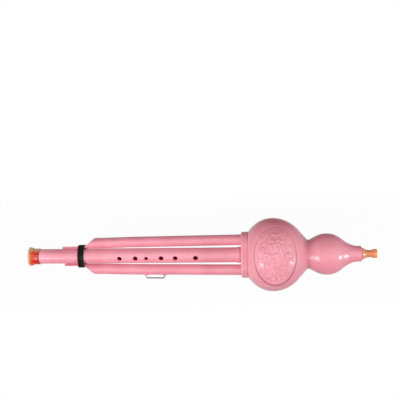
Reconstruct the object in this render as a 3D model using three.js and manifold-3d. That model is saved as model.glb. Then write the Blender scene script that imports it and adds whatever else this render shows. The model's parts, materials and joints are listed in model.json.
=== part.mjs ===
// A hulusi, the free-reed gourd flute: a two-bulb gourd is the wind chest, a stock plugged into its base
// carries the main pipe and two drone pipes, and each pipe ends inside the gourd in a brass reed.
//
// Millimetres. The instrument is drawn along +X, from the tail ferrule's end at zero to the mouthpiece,
// with the finger holes and the medallion towards +Z. A last group lays it down as it lies on a table,
// on its big bulb and on the rim of the tail ferrule.

import * as THREE from 'three';
import { mergeVertices } from 'three/addons/utils/BufferGeometryUtils.js';
import Module from 'manifold-3d';

// Fits, cuts and facets
const fitGap = 0.3;
const cutOverrun = 1;
const gourdSides = 28;
const pipeSides = 24;
const holeSides = 16;
const outlineSteps = 3;
const arcSteps = 6;
const longArcSteps = 12;
const roundingSteps = 2;
const degree = Math.PI / 180;

// Gourd: two bulbs with a crease between them and a straight neck
const gourdWall = 2.4;
const gourdBaseWall = 2.5;
const bigBulbRadius = 43.6;
const bigBulbStation = 28.7;
const bigBulbTailReach = 37;
const bigBulbMouthReach = 41.3;
const bigShoulderAngle = 47.8 * degree;
const bulbSpacing = 63.7;
const smallBulbRadius = 24.5;
const smallBulbTailReach = 26.8;
const smallBulbMouthReach = 25.7;
const smallTailAngle = 31.5 * degree;
const smallShoulderAngle = 41.4 * degree;
const creaseBlend = 3;
const neckRadius = 9.3;
const neckLength = 4;
const neckFlare = 19.7;
const neckFlareShares = [0.75, 0.6];
const neckChamfer = 0.6;
const seamLipHeight = 1.6;
const seamLipThickness = 1;

// Medallion: an oval line cut into the big bulb's front
const medallionHalfLength = 24.3;
const medallionHalfWidth = 34.3;
const medallionShift = 3.6;
const medallionLineWidth = 1.5;
const medallionLineDepth = 0.6;

// Stock: an oval collar outside the gourd and an oval plug inside its mouth
const collarHalfWidth = 27.5;
const collarHalfHeight = 19;
const collarThickness = 8;
const collarRounding = 1.2;
const plugSideWall = 0.9;
const plugHalfHeight = 14.6;
const plugDepth = 8;
const gasketThickness = 1;
const ovalPower = 2.6;
const ovalSteps = 40;
const socketFloor = 1.7;

// Main pipe
const mainPipeRadius = 9;
const mainBoreRadius = 6.5;
const exposedPipeLength = 247.9;
const mainPipeReach = 12;
const mainPipeRoll = 22 * degree;
const stopBeadRadius = 9.6;
const stopBeadLength = 5.6;
const stopSeatDepth = 0.6;
const fingerHoleShares = [0.5946, 0.5163, 0.4627, 0.3893, 0.3199, 0.2207];
const fingerHoleDiameters = [5.2, 5.5, 4.3, 5.5, 5.4, 5.6];
const thumbHoleShare = 0.1513;
const thumbHoleDiameter = 5.4;
const ventShares = [0.9076, 0.9439];
const ventDiameter = 4;
const sealThickness = 0.9;
const sealLength = 2.6;

// Drones: tubes that run in to touch the main pipe, each cut to a tongue at its tail end
const droneRadius = 6.4;
const droneBoreRadius = 4.9;
const droneOffset = 18;
const droneSlantLength = 12.7;
const droneTongueThickness = 2.4;
const droneTongueLength = 28;
const leftBareLength = 28.6;
const rightBareLength = 31.4;
const droneSealLength = 1.8;

// Reeds: a spigot in the pipe's bore, a nose with a flat and a window, and a plate with a cut tongue
const mainReed = {
	spigotRadius: mainBoreRadius - fitGap,
	spigotLength: 10,
	noseRadius: 7.2,
	noseLength: 24,
	boreRadius: 3.6,
	endWall: 3,
	flatHeight: 4.7,
	flatStart: 3,
	plateMargin: 1,
	plateWidth: 8.4,
	plateThickness: 0.5,
	windowMargin: 2.5,
	windowWidth: 3.4,
	slit: 0.4,
};
const droneReed = {
	spigotRadius: droneBoreRadius - fitGap,
	spigotLength: 7,
	noseRadius: 3.8,
	noseLength: 25,
	boreRadius: 1.5,
	endWall: 2,
	flatHeight: 2.3,
	flatStart: 11.5,
	plateMargin: 0.45,
	plateWidth: 5,
	plateThickness: 0.5,
	windowMargin: 1.8,
	windowWidth: 2,
	slit: 0.3,
};

// Binding band
const bandWidth = 7.3;
const bandThickness = 1.7;
const bandRounding = 0.6;

// Tail ferrule: a flared bell pushed over the main pipe's tail tenon
const ferruleLength = 13;
const ferruleRimRadius = 11.5;
const ferruleRimWall = 1.5;
const ferruleRimRounding = 0.7;
const ferruleNeckRadius = 9.8;
const ferruleNeckStation = 8;
const ferruleBellDepth = 4.6;
const tailTenonRadius = 7.4;
const tailCorkThickness = 0.5;
const tailCorkLength = 6;

// Mouthpiece: a waisted nozzle on a corked tenon
const mouthpieceLength = 17.7;
const mouthpieceFlangeRadius = 7.4;
const mouthpieceFlangeLength = 0.6;
const mouthpieceWaistRadius = 4.2;
const mouthpieceWaistStation = 8.7;
const mouthpieceLipRadius = 5.3;
const mouthpieceLipStation = 15.4;
const mouthpieceEndRounding = 0.7;
const mouthpieceBoreRadius = 1.9;
const mouthpieceTenonRadius = 5.2;
const mouthpieceTenonLength = 12;
const mouthpieceCorkLength = 8;

// Wire loop and the two lugs that hold it on the right drone
const loopShare = 0.4219;
const loopSpan = 22.4;
const loopReach = 3.7;
const loopWireRadius = 0.8;
const loopCorner = 1.8;
const loopHeight = 1.6;
const loopWireSides = 8;
const loopSteps = 36;
const lugLength = 4.4;
const lugHeight = 4.2;
const lugProud = 0.8;

// The plug is wide enough for the drones' reeds
const plugHalfWidth = droneOffset + droneReed.noseRadius + fitGap + plugSideWall;

// Stations along the instrument's axis
const shoulderStation = ferruleLength + fitGap;
const collarStation = ferruleLength + exposedPipeLength;
const gourdStation = collarStation + collarThickness + fitGap;
const plugEndStation = collarStation + collarThickness + plugDepth;
const smallBulbStation = bigBulbStation + bulbSpacing;
const pipeEndStation = collarStation + collarThickness + mainPipeReach;
const socketEndStation = collarStation + collarThickness - socketFloor;

// Distances from the collar towards the tail
const leftTongueReach = exposedPipeLength - leftBareLength;
const rightTongueReach = exposedPipeLength - rightBareLength;
const longestTongue = Math.max(leftTongueReach, rightTongueReach);
const droneSlantFoot = longestTongue - droneTongueLength;
const droneTouchOffset = mainPipeRadius + fitGap + droneRadius;
const droneSplay = Math.atan((droneOffset - droneTouchOffset) / longestTongue);
const loopDistance = loopShare * exposedPipeLength;

const wasm = await Module();
wasm.setup();

// Solids

// A closed three.js geometry as a solid that can be cut and joined.
function solidOf(geometry) {
	const bare = geometry.clone();
	bare.deleteAttribute('normal');
	bare.deleteAttribute('uv');
	const merged = mergeVertices(bare);
	const corners = [];
	for (let i = 0; i < merged.index.count; i += 3) {
		const [a, b, c] = merged.index.array.slice(i, i + 3);
		if (a !== b && b !== c && c !== a) corners.push(a, b, c);
	}
	return new wasm.Manifold(new wasm.Mesh({
		numProp: 3,
		vertProperties: Float32Array.from(merged.attributes.position.array),
		triVerts: Uint32Array.from(corners),
	}));
}

function geometryOf(solid) {
	const mesh = solid.getMesh();
	const geometry = new THREE.BufferGeometry();
	geometry.setAttribute('position', new THREE.BufferAttribute(mesh.vertProperties, 3));
	geometry.setIndex(new THREE.BufferAttribute(mesh.triVerts, 1));
	geometry.computeVertexNormals();
	return geometry;
}

// The lathe's own axis is Y. It is laid along X, with a flat facet facing straight down and straight up.
function revolve(profile, sides) {
	const lathe = new THREE.LatheGeometry(profile, sides, Math.PI / sides);
	lathe.rotateZ(-Math.PI / 2);
	return solidOf(lathe);
}

function point(radius, station) {
	return new THREE.Vector2(radius, station);
}

function tube(innerRadius, outerRadius, start, end, sides) {
	const profile = [
		point(innerRadius, start),
		point(outerRadius, start),
		point(outerRadius, end),
		point(innerRadius, end),
		point(innerRadius, start),
	];
	return revolve(profile, sides);
}

function rod(radius, start, end, sides) {
	return revolve([point(0, start), point(radius, start), point(radius, end), point(0, end)], sides);
}

function box(low, high) {
	const size = high.clone().sub(low);
	const middle = high.clone().add(low).divideScalar(2);
	const geometry = new THREE.BoxGeometry(size.x, size.y, size.z);
	geometry.translate(middle.x, middle.y, middle.z);
	return solidOf(geometry);
}

// An outline in the plane across the axis, extruded along the axis from one station to another.
function extrudeAlong(shape, start, end, rounding = 0) {
	const geometry = new THREE.ExtrudeGeometry(shape, {
		depth: end - start - 2 * rounding,
		bevelEnabled: rounding > 0,
		bevelThickness: rounding,
		bevelSize: rounding,
		bevelOffset: -rounding,
		bevelSegments: roundingSteps,
		curveSegments: arcSteps,
	});
	geometry.rotateY(Math.PI / 2);
	geometry.translate(start + rounding, 0, 0);
	return solidOf(geometry);
}

// An outline in the plane of the axis and the three pipes, extruded from one height to another.
function extrudeUp(shape, low, high) {
	const geometry = new THREE.ExtrudeGeometry(shape, {
		depth: high - low,
		bevelEnabled: false,
		curveSegments: longArcSteps,
	});
	geometry.translate(0, 0, low);
	return solidOf(geometry);
}

// A round hole drilled through one wall of a pipe, from the axis outwards. Side is 1 in front, -1 behind.
function drill(radius, station, reach, side) {
	const geometry = new THREE.CylinderGeometry(radius, radius, reach, holeSides);
	geometry.rotateX(Math.PI / 2);
	geometry.translate(station, 0, side * reach / 2);
	return solidOf(geometry);
}

function place(solid, group) {
	group.updateMatrix();
	const geometry = geometryOf(solid);
	geometry.applyMatrix4(group.matrix);
	return solidOf(geometry);
}

// A superellipse across the axis: an oval with full shoulders.
function oval(halfWidth, halfHeight) {
	const points = [];
	for (let i = 0; i < ovalSteps; i++) {
		const angle = (i + 0.5) * 2 * Math.PI / ovalSteps;
		const across = Math.abs(Math.sin(angle)) ** (2 / ovalPower) * Math.sign(Math.sin(angle));
		const up = Math.abs(Math.cos(angle)) ** (2 / ovalPower) * Math.sign(Math.cos(angle));
		points.push(point(halfHeight * up, halfWidth * across));
	}
	return new THREE.Shape(points);
}

// Materials

function pinkPlastic() {
	return new THREE.MeshStandardMaterial({ color: 0xf2a3af, roughness: 0.35, metalness: 0 });
}

function amberPlastic(color) {
	return new THREE.MeshStandardMaterial({ color, roughness: 0.2, metalness: 0 });
}

function rubber() {
	return new THREE.MeshStandardMaterial({ color: 0x1c1314, roughness: 0.6, metalness: 0 });
}

function cork() {
	return new THREE.MeshStandardMaterial({ color: 0xb98a5e, roughness: 0.9, metalness: 0 });
}

function brass() {
	return new THREE.MeshStandardMaterial({ color: 0xc9a24a, roughness: 0.3, metalness: 1 });
}

function steel() {
	return new THREE.MeshStandardMaterial({ color: 0xa9a4a2, roughness: 0.3, metalness: 1 });
}

function piece(name, solid, material) {
	const mesh = new THREE.Mesh(geometryOf(solid), material);
	mesh.name = name;
	return mesh;
}

// Gourd

function ellipsePoint(radius, reach, station, angle) {
	return point(radius * Math.cos(angle), station + reach * Math.sin(angle));
}

function ellipseTangent(radius, reach, angle) {
	return point(-radius * Math.sin(angle), reach * Math.cos(angle)).normalize();
}

// Where the line through one point meets the line through another.
function crossing(from, along, to, against) {
	const gap = to.clone().sub(from);
	const share = gap.cross(against) / along.cross(against);
	return from.clone().addScaledVector(along, share);
}

// The gourd's outside from the base to the end of the neck, stations counted from its base.
function gourdOutline() {
	const big = ellipsePoint(bigBulbRadius, bigBulbMouthReach, bigBulbStation, bigShoulderAngle);
	const bigSlope = ellipseTangent(bigBulbRadius, bigBulbMouthReach, bigShoulderAngle);
	const small = ellipsePoint(smallBulbRadius, smallBulbTailReach, smallBulbStation, -smallTailAngle);
	const smallSlope = ellipseTangent(smallBulbRadius, smallBulbTailReach, -smallTailAngle);
	const crease = crossing(big, bigSlope, small, smallSlope);
	const creaseStart = crease.clone().addScaledVector(bigSlope, -creaseBlend);
	const creaseEnd = crease.clone().addScaledVector(smallSlope, creaseBlend);
	const neckward = [smallBulbRadius, smallBulbMouthReach];
	const shoulder = ellipsePoint(...neckward, smallBulbStation, smallShoulderAngle);
	const shoulderSlope = ellipseTangent(...neckward, smallShoulderAngle);
	const neck = point(neckRadius, shoulder.y + neckFlare);
	const corner = crossing(shoulder, shoulderSlope, neck, point(0, 1));
	const leave = shoulder.clone().lerp(corner, neckFlareShares[0]);
	const arrive = neck.clone().lerp(corner, neckFlareShares[1]);
	const baseAngle = -Math.asin(bigBulbStation / bigBulbTailReach);

	const outline = new THREE.Path();
	outline.absellipse(0, bigBulbStation, bigBulbRadius, bigBulbTailReach, baseAngle, 0);
	outline.absellipse(0, bigBulbStation, bigBulbRadius, bigBulbMouthReach, 0, bigShoulderAngle);
	outline.lineTo(creaseStart.x, creaseStart.y);
	outline.quadraticCurveTo(crease.x, crease.y, creaseEnd.x, creaseEnd.y);
	outline.lineTo(small.x, small.y);
	outline.absellipse(0, smallBulbStation, smallBulbRadius, smallBulbTailReach, -smallTailAngle, 0);
	outline.absellipse(0, smallBulbStation, smallBulbRadius, smallBulbMouthReach, 0, smallShoulderAngle);
	outline.bezierCurveTo(leave.x, leave.y, arrive.x, arrive.y, neck.x, neck.y);
	outline.lineTo(neckRadius, neck.y + neckLength);
	return withoutRepeats(outline.getPoints(outlineSteps));
}

function withoutRepeats(points) {
	return points.filter((here, i) => i === 0 || here.distanceTo(points[i - 1]) > neckChamfer);
}

// The outline moved towards the axis, square to itself.
function inset(outline, depth) {
	return outline.map((here, i) => {
		const before = outline[Math.max(i - 1, 0)];
		const after = outline[Math.min(i + 1, outline.length - 1)];
		const along = after.clone().sub(before).normalize();
		return point(here.x - along.y * depth, here.y + along.x * depth);
	});
}

// The part of an outline that lies past a station, starting exactly there.
function from(outline, station) {
	const next = outline.findIndex((here) => here.y > station);
	if (next <= 0) return outline;
	const last = outline[next - 1];
	const share = (station - last.y) / (outline[next].y - last.y);
	return [last.clone().lerp(outline[next], share), ...outline.slice(next)];
}

const outline = gourdOutline();
const gourdLength = outline[outline.length - 1].y;

function atGourd(points) {
	return points.map((here) => point(here.x, here.y + gourdStation));
}

function gourdBody() {
	const inside = from(inset(outline, gourdWall), gourdBaseWall);
	const end = inside[inside.length - 1];
	const profile = [
		point(0, 0),
		...outline.slice(0, -1),
		point(neckRadius, gourdLength - neckChamfer),
		point(neckRadius - neckChamfer, gourdLength),
		point(end.x, gourdLength),
		...inside.slice(0, -1).reverse(),
		point(0, gourdBaseWall),
	];
	const mouthGrowth = 2 * fitGap + gasketThickness;
	const mouth = oval(plugHalfWidth + mouthGrowth, plugHalfHeight + mouthGrowth);
	const mouthEnd = gourdStation + gourdBaseWall + cutOverrun;
	const body = revolve(atGourd(profile), gourdSides);
	return body.subtract(extrudeAlong(mouth, gourdStation - cutOverrun, mouthEnd));
}

// The gourd's wall between two depths below its surface, for the seam's stepped lip.
function wallBetween(outerDepth, innerDepth) {
	const outside = from(inset(outline, outerDepth), gourdBaseWall);
	const inside = from(inset(outline, innerDepth), gourdBaseWall);
	return revolve(atGourd([...outside, ...inside.reverse(), outside[0]]), gourdSides);
}

function gourdSlab(low, high) {
	const reach = bigBulbRadius + cutOverrun;
	const start = gourdStation - cutOverrun;
	const end = gourdStation + gourdLength + cutOverrun;
	return box(new THREE.Vector3(start, -reach, low), new THREE.Vector3(end, reach, high));
}

// The oval line stands between two ellipses seen from the front, down to one depth below the bulb.
function medallionLine() {
	const centre = gourdStation + bigBulbStation + medallionShift;
	const half = medallionLineWidth / 2;
	const ring = new THREE.Shape();
	ring.absellipse(centre, 0, medallionHalfLength + half, medallionHalfWidth + half, 0, 2 * Math.PI);
	const hole = new THREE.Path();
	hole.absellipse(centre, 0, medallionHalfLength - half, medallionHalfWidth - half, 0, 2 * Math.PI);
	ring.holes.push(hole);
	const core = inset(outline, medallionLineDepth);
	const ends = [point(0, core[0].y), ...core, point(0, core[core.length - 1].y)];
	return extrudeUp(ring, 0, bigBulbRadius + cutOverrun).subtract(revolve(atGourd(ends), gourdSides));
}

function makeGourdShells() {
	const body = gourdBody();
	const reach = bigBulbRadius + cutOverrun;
	const lipDepth = gourdWall - seamLipThickness;
	const lip = wallBetween(lipDepth, gourdWall).intersect(gourdSlab(-seamLipHeight, seamLipHeight));
	const rebate = wallBetween(lipDepth - fitGap, gourdWall + fitGap)
		.intersect(gourdSlab(0, seamLipHeight + fitGap));
	const front = body.intersect(gourdSlab(fitGap / 2, reach)).subtract(rebate).subtract(medallionLine());
	const back = body.intersect(gourdSlab(-reach, -fitGap / 2)).add(lip);
	return [
		piece('gourd_front_shell', front, pinkPlastic()),
		piece('gourd_back_shell', back, pinkPlastic()),
	];
}

// Stock

// A drone's own frame: zero at the collar's tail face, +X towards the gourd. Side is 1 left, -1 right.
function droneGroup(side) {
	const group = new THREE.Group();
	group.position.set(collarStation, side * droneOffset, 0);
	group.rotation.z = side * droneSplay;
	return group;
}

const socketDepth = socketEndStation - collarStation;
const droneSealStart = (socketDepth - droneSealLength) / 2;

function droneSocket(side) {
	const grooveRadius = droneRadius + 2 * fitGap + sealThickness + fitGap;
	const socket = rod(droneRadius + fitGap, -cutOverrun, socketDepth, pipeSides);
	const grooveEnd = droneSealStart + droneSealLength + 2 * fitGap;
	const groove = rod(grooveRadius, droneSealStart, grooveEnd, pipeSides);
	const reedWay = rod(droneReed.noseRadius + fitGap, 0, plugEndStation, pipeSides);
	return place(socket.add(groove).add(reedWay), droneGroup(side));
}

const mainSealStation = collarStation + collarThickness;

function makeStock() {
	const boreRadius = mainPipeRadius + fitGap;
	const grooveRadius = boreRadius + sealThickness + fitGap;
	const grooveEnd = mainSealStation + sealLength + 2 * fitGap;
	const groove = rod(grooveRadius, mainSealStation, grooveEnd, pipeSides);
	const collarOval = oval(collarHalfWidth, collarHalfHeight);
	const collarEnd = collarStation + collarThickness;
	const collar = extrudeAlong(collarOval, collarStation, collarEnd, collarRounding);
	const plug = extrudeAlong(oval(plugHalfWidth, plugHalfHeight), socketEndStation, plugEndStation);
	const bore = rod(boreRadius, collarStation, plugEndStation + cutOverrun, pipeSides);
	const seatEnd = collarStation + stopSeatDepth;
	const seat = rod(stopBeadRadius + fitGap, collarStation - cutOverrun, seatEnd, pipeSides);
	const stock = collar.add(plug).subtract(bore).subtract(seat).subtract(groove)
		.subtract(droneSocket(1)).subtract(droneSocket(-1));
	return piece('stock_collar', stock, pinkPlastic());
}

function makeGasket() {
	const inner = oval(plugHalfWidth + fitGap, plugHalfHeight + fitGap);
	const outer = oval(plugHalfWidth + fitGap + gasketThickness, plugHalfHeight + fitGap + gasketThickness);
	const start = gourdStation;
	const end = gourdStation + gourdBaseWall;
	const hole = extrudeAlong(inner, start - cutOverrun, end + cutOverrun);
	return piece('stock_gasket', extrudeAlong(outer, start, end).subtract(hole), rubber());
}

// Pipes and reeds

function plateLength(reed) {
	return reed.noseLength - reed.flatStart - 2 * reed.plateMargin;
}

// A reed holder's own frame: zero where its nose leaves the pipe, +X into the gourd.
function makeReedHolder(name, reed) {
	const length = reed.noseLength;
	const shoulder = reed.noseRadius > reed.spigotRadius ? fitGap : 0;
	const blank = revolve([
		point(0, -reed.spigotLength),
		point(reed.spigotRadius, -reed.spigotLength),
		point(reed.spigotRadius, shoulder),
		point(reed.noseRadius, shoulder),
		point(reed.noseRadius, length),
		point(0, length),
	], pipeSides);
	const bore = rod(reed.boreRadius, -reed.spigotLength - cutOverrun, length - reed.endWall, holeSides);
	const reach = reed.noseRadius + cutOverrun;
	const flat = box(
		new THREE.Vector3(reed.flatStart, -reach, reed.flatHeight),
		new THREE.Vector3(length + cutOverrun, reach, reach),
	);
	const middle = (reed.flatStart + length) / 2;
	const half = plateLength(reed) / 2 - reed.windowMargin;
	const window = box(
		new THREE.Vector3(middle - half, -reed.windowWidth / 2, 0),
		new THREE.Vector3(middle + half - reed.endWall, reed.windowWidth / 2, reach),
	);
	const holder = blank.subtract(bore).subtract(flat).subtract(window);
	return piece(name, holder, pinkPlastic());
}

// The tongue is freed by a slit along two sides of a long triangle, and stays joined at its foot.
function makeReedPlate(name, reed) {
	const bottom = reed.flatHeight + fitGap;
	const top = bottom + reed.plateThickness;
	const middle = (reed.flatStart + reed.noseLength) / 2;
	const half = plateLength(reed) / 2;
	const plate = box(
		new THREE.Vector3(middle - half, -reed.plateWidth / 2, bottom),
		new THREE.Vector3(middle + half, reed.plateWidth / 2, top),
	);
	const tip = middle - half + reed.windowMargin + reed.endWall / 2;
	const foot = middle + half - reed.windowMargin - reed.endWall;
	const wide = reed.windowWidth / 2 - reed.slit;
	const steep = reed.slit * (foot - tip) / wide;
	const slit = new THREE.Shape([
		point(foot, -wide),
		point(tip, 0),
		point(foot, wide),
		point(foot, wide - reed.slit),
		point(tip + steep, 0),
		point(foot, -wide + reed.slit),
	]);
	const cut = extrudeUp(slit, bottom - cutOverrun, top + cutOverrun);
	return piece(name, plate.subtract(cut), brass());
}

function makeMainPipe() {
	const beadEnd = collarStation + stopSeatDepth - fitGap;
	const tenonStart = ferruleBellDepth + fitGap;
	const profile = [
		point(mainBoreRadius, tenonStart),
		point(tailTenonRadius, tenonStart),
		point(tailTenonRadius, shoulderStation),
		point(mainPipeRadius, shoulderStation),
		point(mainPipeRadius, beadEnd - stopBeadLength),
		point(stopBeadRadius, beadEnd - stopBeadLength),
		point(stopBeadRadius, beadEnd),
		point(mainPipeRadius, beadEnd),
		point(mainPipeRadius, pipeEndStation),
		point(mainBoreRadius, pipeEndStation),
		point(mainBoreRadius, tenonStart),
	];
	const reach = mainPipeRadius + cutOverrun;
	let pipe = revolve(profile, pipeSides);
	const alongPipe = (share) => collarStation - share * exposedPipeLength;
	fingerHoleShares.forEach((share, i) => {
		pipe = pipe.subtract(drill(fingerHoleDiameters[i] / 2, alongPipe(share), reach, 1));
	});
	pipe = pipe.subtract(drill(thumbHoleDiameter / 2, alongPipe(thumbHoleShare), reach, -1));
	for (const share of ventShares) {
		pipe = pipe.subtract(drill(ventDiameter / 2, alongPipe(share), reach, -1));
	}
	return piece('main_pipe', pipe, pinkPlastic());
}

function makeMainPipeSeal() {
	const start = mainSealStation + fitGap;
	const inner = mainPipeRadius + fitGap;
	const ring = tube(inner, inner + sealThickness, start, start + sealLength, pipeSides);
	return piece('main_pipe_seal', ring, rubber());
}

function makeMainPipeGroup() {
	const group = new THREE.Group();
	group.rotation.x = mainPipeRoll;
	const reed = new THREE.Group();
	reed.position.x = pipeEndStation;
	reed.add(makeReedHolder('main_reed_holder', mainReed));
	reed.add(makeReedPlate('main_reed_plate', mainReed));
	group.add(makeMainPipe(), makeMainPipeSeal(), reed);
	return group;
}

// What is cut off a drone's tail: everything outside the tongue, past a slanted face.
function droneSlant(side, tongueReach) {
	const flat = side * (droneTongueThickness - droneRadius);
	const edge = side * (droneRadius + cutOverrun);
	const slope = droneSlantLength / (2 * droneRadius - droneTongueThickness);
	const tail = -tongueReach - cutOverrun;
	const corners = [
		point(-droneSlantFoot + slope * Math.abs(edge - flat), edge),
		point(-droneSlantFoot, flat),
		point(tail, flat),
		point(tail, edge),
	];
	return extrudeUp(new THREE.Shape(corners), -droneRadius - cutOverrun, droneRadius + cutOverrun);
}

// A lug is a flat-sided block that the drone's flank swells into, with a blind hole for the wire's leg.
function lug(side, station) {
	const outer = side * (droneRadius + lugProud);
	const inner = side * (droneBoreRadius + droneRadius) / 2;
	const [near, far] = [Math.min(inner, outer), Math.max(inner, outer)];
	const low = new THREE.Vector3(station - lugLength / 2, near, loopHeight - lugHeight / 2);
	const high = new THREE.Vector3(station + lugLength / 2, far, loopHeight + lugHeight / 2);
	return box(low, high);
}

const lugStations = [-loopDistance - loopSpan / 2, -loopDistance + loopSpan / 2];
const loopLegStart = droneRadius - fitGap;

function legHole(side, station) {
	const geometry = new THREE.CylinderGeometry(
		loopWireRadius + fitGap,
		loopWireRadius + fitGap,
		droneRadius,
		holeSides,
	);
	geometry.translate(station, side * (loopLegStart - fitGap + droneRadius / 2), loopHeight);
	return solidOf(geometry);
}

function makeDrone(name, side, tongueReach, lugs) {
	let pipe = tube(droneBoreRadius, droneRadius, -tongueReach, socketDepth - fitGap, pipeSides);
	pipe = pipe.subtract(droneSlant(side, tongueReach));
	for (const station of lugs) pipe = pipe.add(lug(side, station)).subtract(legHole(side, station));
	return piece(name, pipe, pinkPlastic());
}

function makeDroneSeal(name) {
	const inner = droneRadius + fitGap;
	const start = droneSealStart + fitGap;
	const ring = tube(inner, inner + sealThickness, start, start + droneSealLength, pipeSides);
	return piece(name, ring, rubber());
}

// The wire stands out of one lug, turns along the drone and goes back into the other lug.
function makeWireLoop(side) {
	const [start, end] = lugStations;
	const out = side * (droneRadius + loopReach);
	const leg = side * loopLegStart;
	const turn = side * (droneRadius + loopReach - loopCorner);
	const at = (x, y) => new THREE.Vector3(x, y, loopHeight);
	const path = new THREE.CurvePath();
	path.add(new THREE.LineCurve3(at(start, leg), at(start, turn)));
	path.add(new THREE.QuadraticBezierCurve3(at(start, turn), at(start, out), at(start + loopCorner, out)));
	path.add(new THREE.LineCurve3(at(start + loopCorner, out), at(end - loopCorner, out)));
	path.add(new THREE.QuadraticBezierCurve3(at(end - loopCorner, out), at(end, out), at(end, turn)));
	path.add(new THREE.LineCurve3(at(end, turn), at(end, leg)));
	const section = new THREE.Shape();
	section.absarc(0, 0, loopWireRadius, 0, 2 * Math.PI);
	const wire = new THREE.ExtrudeGeometry(section, {
		steps: loopSteps,
		curveSegments: loopWireSides / 2,
		bevelEnabled: false,
		extrudePath: path,
	});
	return piece('tassel_wire_loop', solidOf(wire), steel());
}

function makeDroneGroup(sideName, side, tongueReach) {
	const group = droneGroup(side);
	const reed = new THREE.Group();
	reed.position.x = socketDepth - fitGap;
	reed.add(makeReedHolder(`${sideName}_drone_reed_holder`, droneReed));
	reed.add(makeReedPlate(`${sideName}_drone_reed_plate`, droneReed));
	const lugs = side < 0 ? lugStations : [];
	group.add(makeDrone(`${sideName}_drone_pipe`, side, tongueReach, lugs));
	group.add(makeDroneSeal(`${sideName}_drone_seal`), reed);
	if (side < 0) group.add(makeWireLoop(side));
	return group;
}

// Band

// The taut outline round the main pipe and the two tongues, grown outwards by one distance.
function tautOutline(target, growth, flat, halfChord) {
	const corner = Math.hypot(flat, halfChord);
	const lean = Math.atan2(halfChord, flat) + Math.acos(mainPipeRadius / corner);
	target.absarc(0, 0, mainPipeRadius + growth, lean, Math.PI - lean);
	target.absarc(-flat, halfChord, growth, Math.PI - lean, Math.PI);
	target.absarc(-flat, -halfChord, growth, Math.PI, Math.PI + lean);
	target.absarc(0, 0, mainPipeRadius + growth, Math.PI + lean, 2 * Math.PI - lean);
	target.absarc(flat, -halfChord, growth, 2 * Math.PI - lean, 2 * Math.PI);
	target.absarc(flat, halfChord, growth, 0, lean);
	return target;
}

function makeBand() {
	const centre = droneSlantFoot + fitGap + bandWidth / 2;
	const spread = (longestTongue - centre + bandWidth / 2) * Math.tan(droneSplay);
	const flat = mainPipeRadius + fitGap + spread + droneTongueThickness;
	const halfChord = Math.sqrt(droneRadius ** 2 - (droneRadius - droneTongueThickness) ** 2);
	const shape = tautOutline(new THREE.Shape(), fitGap + bandThickness, flat, halfChord);
	const hole = tautOutline(new THREE.Shape(), fitGap, flat, halfChord);
	const start = collarStation - centre - bandWidth / 2;
	const end = start + bandWidth;
	const turn = (each) => new THREE.Shape(each.getPoints(arcSteps).map(({ x, y }) => point(y, x)));
	const outer = extrudeAlong(turn(shape), start, end, bandRounding);
	const inner = extrudeAlong(turn(hole), start - cutOverrun, end + cutOverrun);
	return piece('binding_band', outer.subtract(inner), rubber());
}

// Tail ferrule

const tailCorkInner = tailTenonRadius + fitGap;
const tailCorkOuter = tailCorkInner + tailCorkThickness;

function makeFerrule() {
	const rimInner = ferruleRimRadius - ferruleRimWall;
	const profile = new THREE.Path();
	profile.moveTo(rimInner, 0);
	profile.lineTo(ferruleRimRadius - ferruleRimRounding, 0);
	profile.quadraticCurveTo(ferruleRimRadius, 0, ferruleRimRadius, ferruleRimRounding);
	profile.bezierCurveTo(
		ferruleRimRadius,
		ferruleNeckStation / 2,
		ferruleNeckRadius,
		ferruleNeckStation / 2,
		ferruleNeckRadius,
		ferruleNeckStation,
	);
	profile.lineTo(ferruleNeckRadius, ferruleLength - ferruleRimRounding);
	profile.lineTo(ferruleNeckRadius - ferruleRimRounding, ferruleLength);
	profile.lineTo(tailCorkOuter + fitGap, ferruleLength);
	profile.lineTo(tailCorkOuter + fitGap, ferruleBellDepth);
	profile.lineTo(mainBoreRadius, ferruleBellDepth);
	profile.quadraticCurveTo(mainBoreRadius, 0, rimInner, 0);
	const bell = revolve(profile.getPoints(outlineSteps + 1), pipeSides);
	return piece('tail_ferrule', bell, amberPlastic(0xdf4a34));
}

function makeTailCork() {
	const middle = (ferruleBellDepth + ferruleLength) / 2;
	const start = middle - tailCorkLength / 2;
	const sleeve = tube(tailCorkInner, tailCorkOuter, start, start + tailCorkLength, pipeSides);
	return piece('tail_cork', sleeve, cork());
}

// Mouthpiece

const neckEndStation = gourdStation + gourdLength;
const neckSocketRadius = neckRadius - gourdWall;

function makeMouthpiece() {
	const base = neckEndStation + fitGap;
	const waist = base + mouthpieceWaistStation;
	const lip = base + mouthpieceLipStation;
	const end = base + mouthpieceLength;
	const flangeEnd = base + mouthpieceFlangeLength;
	const profile = new THREE.Path();
	profile.moveTo(mouthpieceBoreRadius, neckEndStation - mouthpieceTenonLength);
	profile.lineTo(mouthpieceTenonRadius, neckEndStation - mouthpieceTenonLength);
	profile.lineTo(mouthpieceTenonRadius, base);
	profile.lineTo(mouthpieceFlangeRadius, base);
	profile.lineTo(mouthpieceFlangeRadius, flangeEnd);
	profile.quadraticCurveTo(mouthpieceWaistRadius, (flangeEnd + waist) / 2, mouthpieceWaistRadius, waist);
	profile.bezierCurveTo(
		mouthpieceWaistRadius,
		(waist + lip) / 2,
		mouthpieceLipRadius,
		(waist + lip) / 2,
		mouthpieceLipRadius,
		lip,
	);
	profile.lineTo(mouthpieceLipRadius, end - mouthpieceEndRounding);
	profile.quadraticCurveTo(mouthpieceLipRadius, end, mouthpieceLipRadius - mouthpieceEndRounding, end);
	profile.lineTo(mouthpieceBoreRadius, end);
	profile.lineTo(mouthpieceBoreRadius, neckEndStation - mouthpieceTenonLength);
	const nozzle = revolve(profile.getPoints(outlineSteps + 1), pipeSides);
	return piece('mouthpiece', nozzle, amberPlastic(0xf5965a));
}

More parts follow.
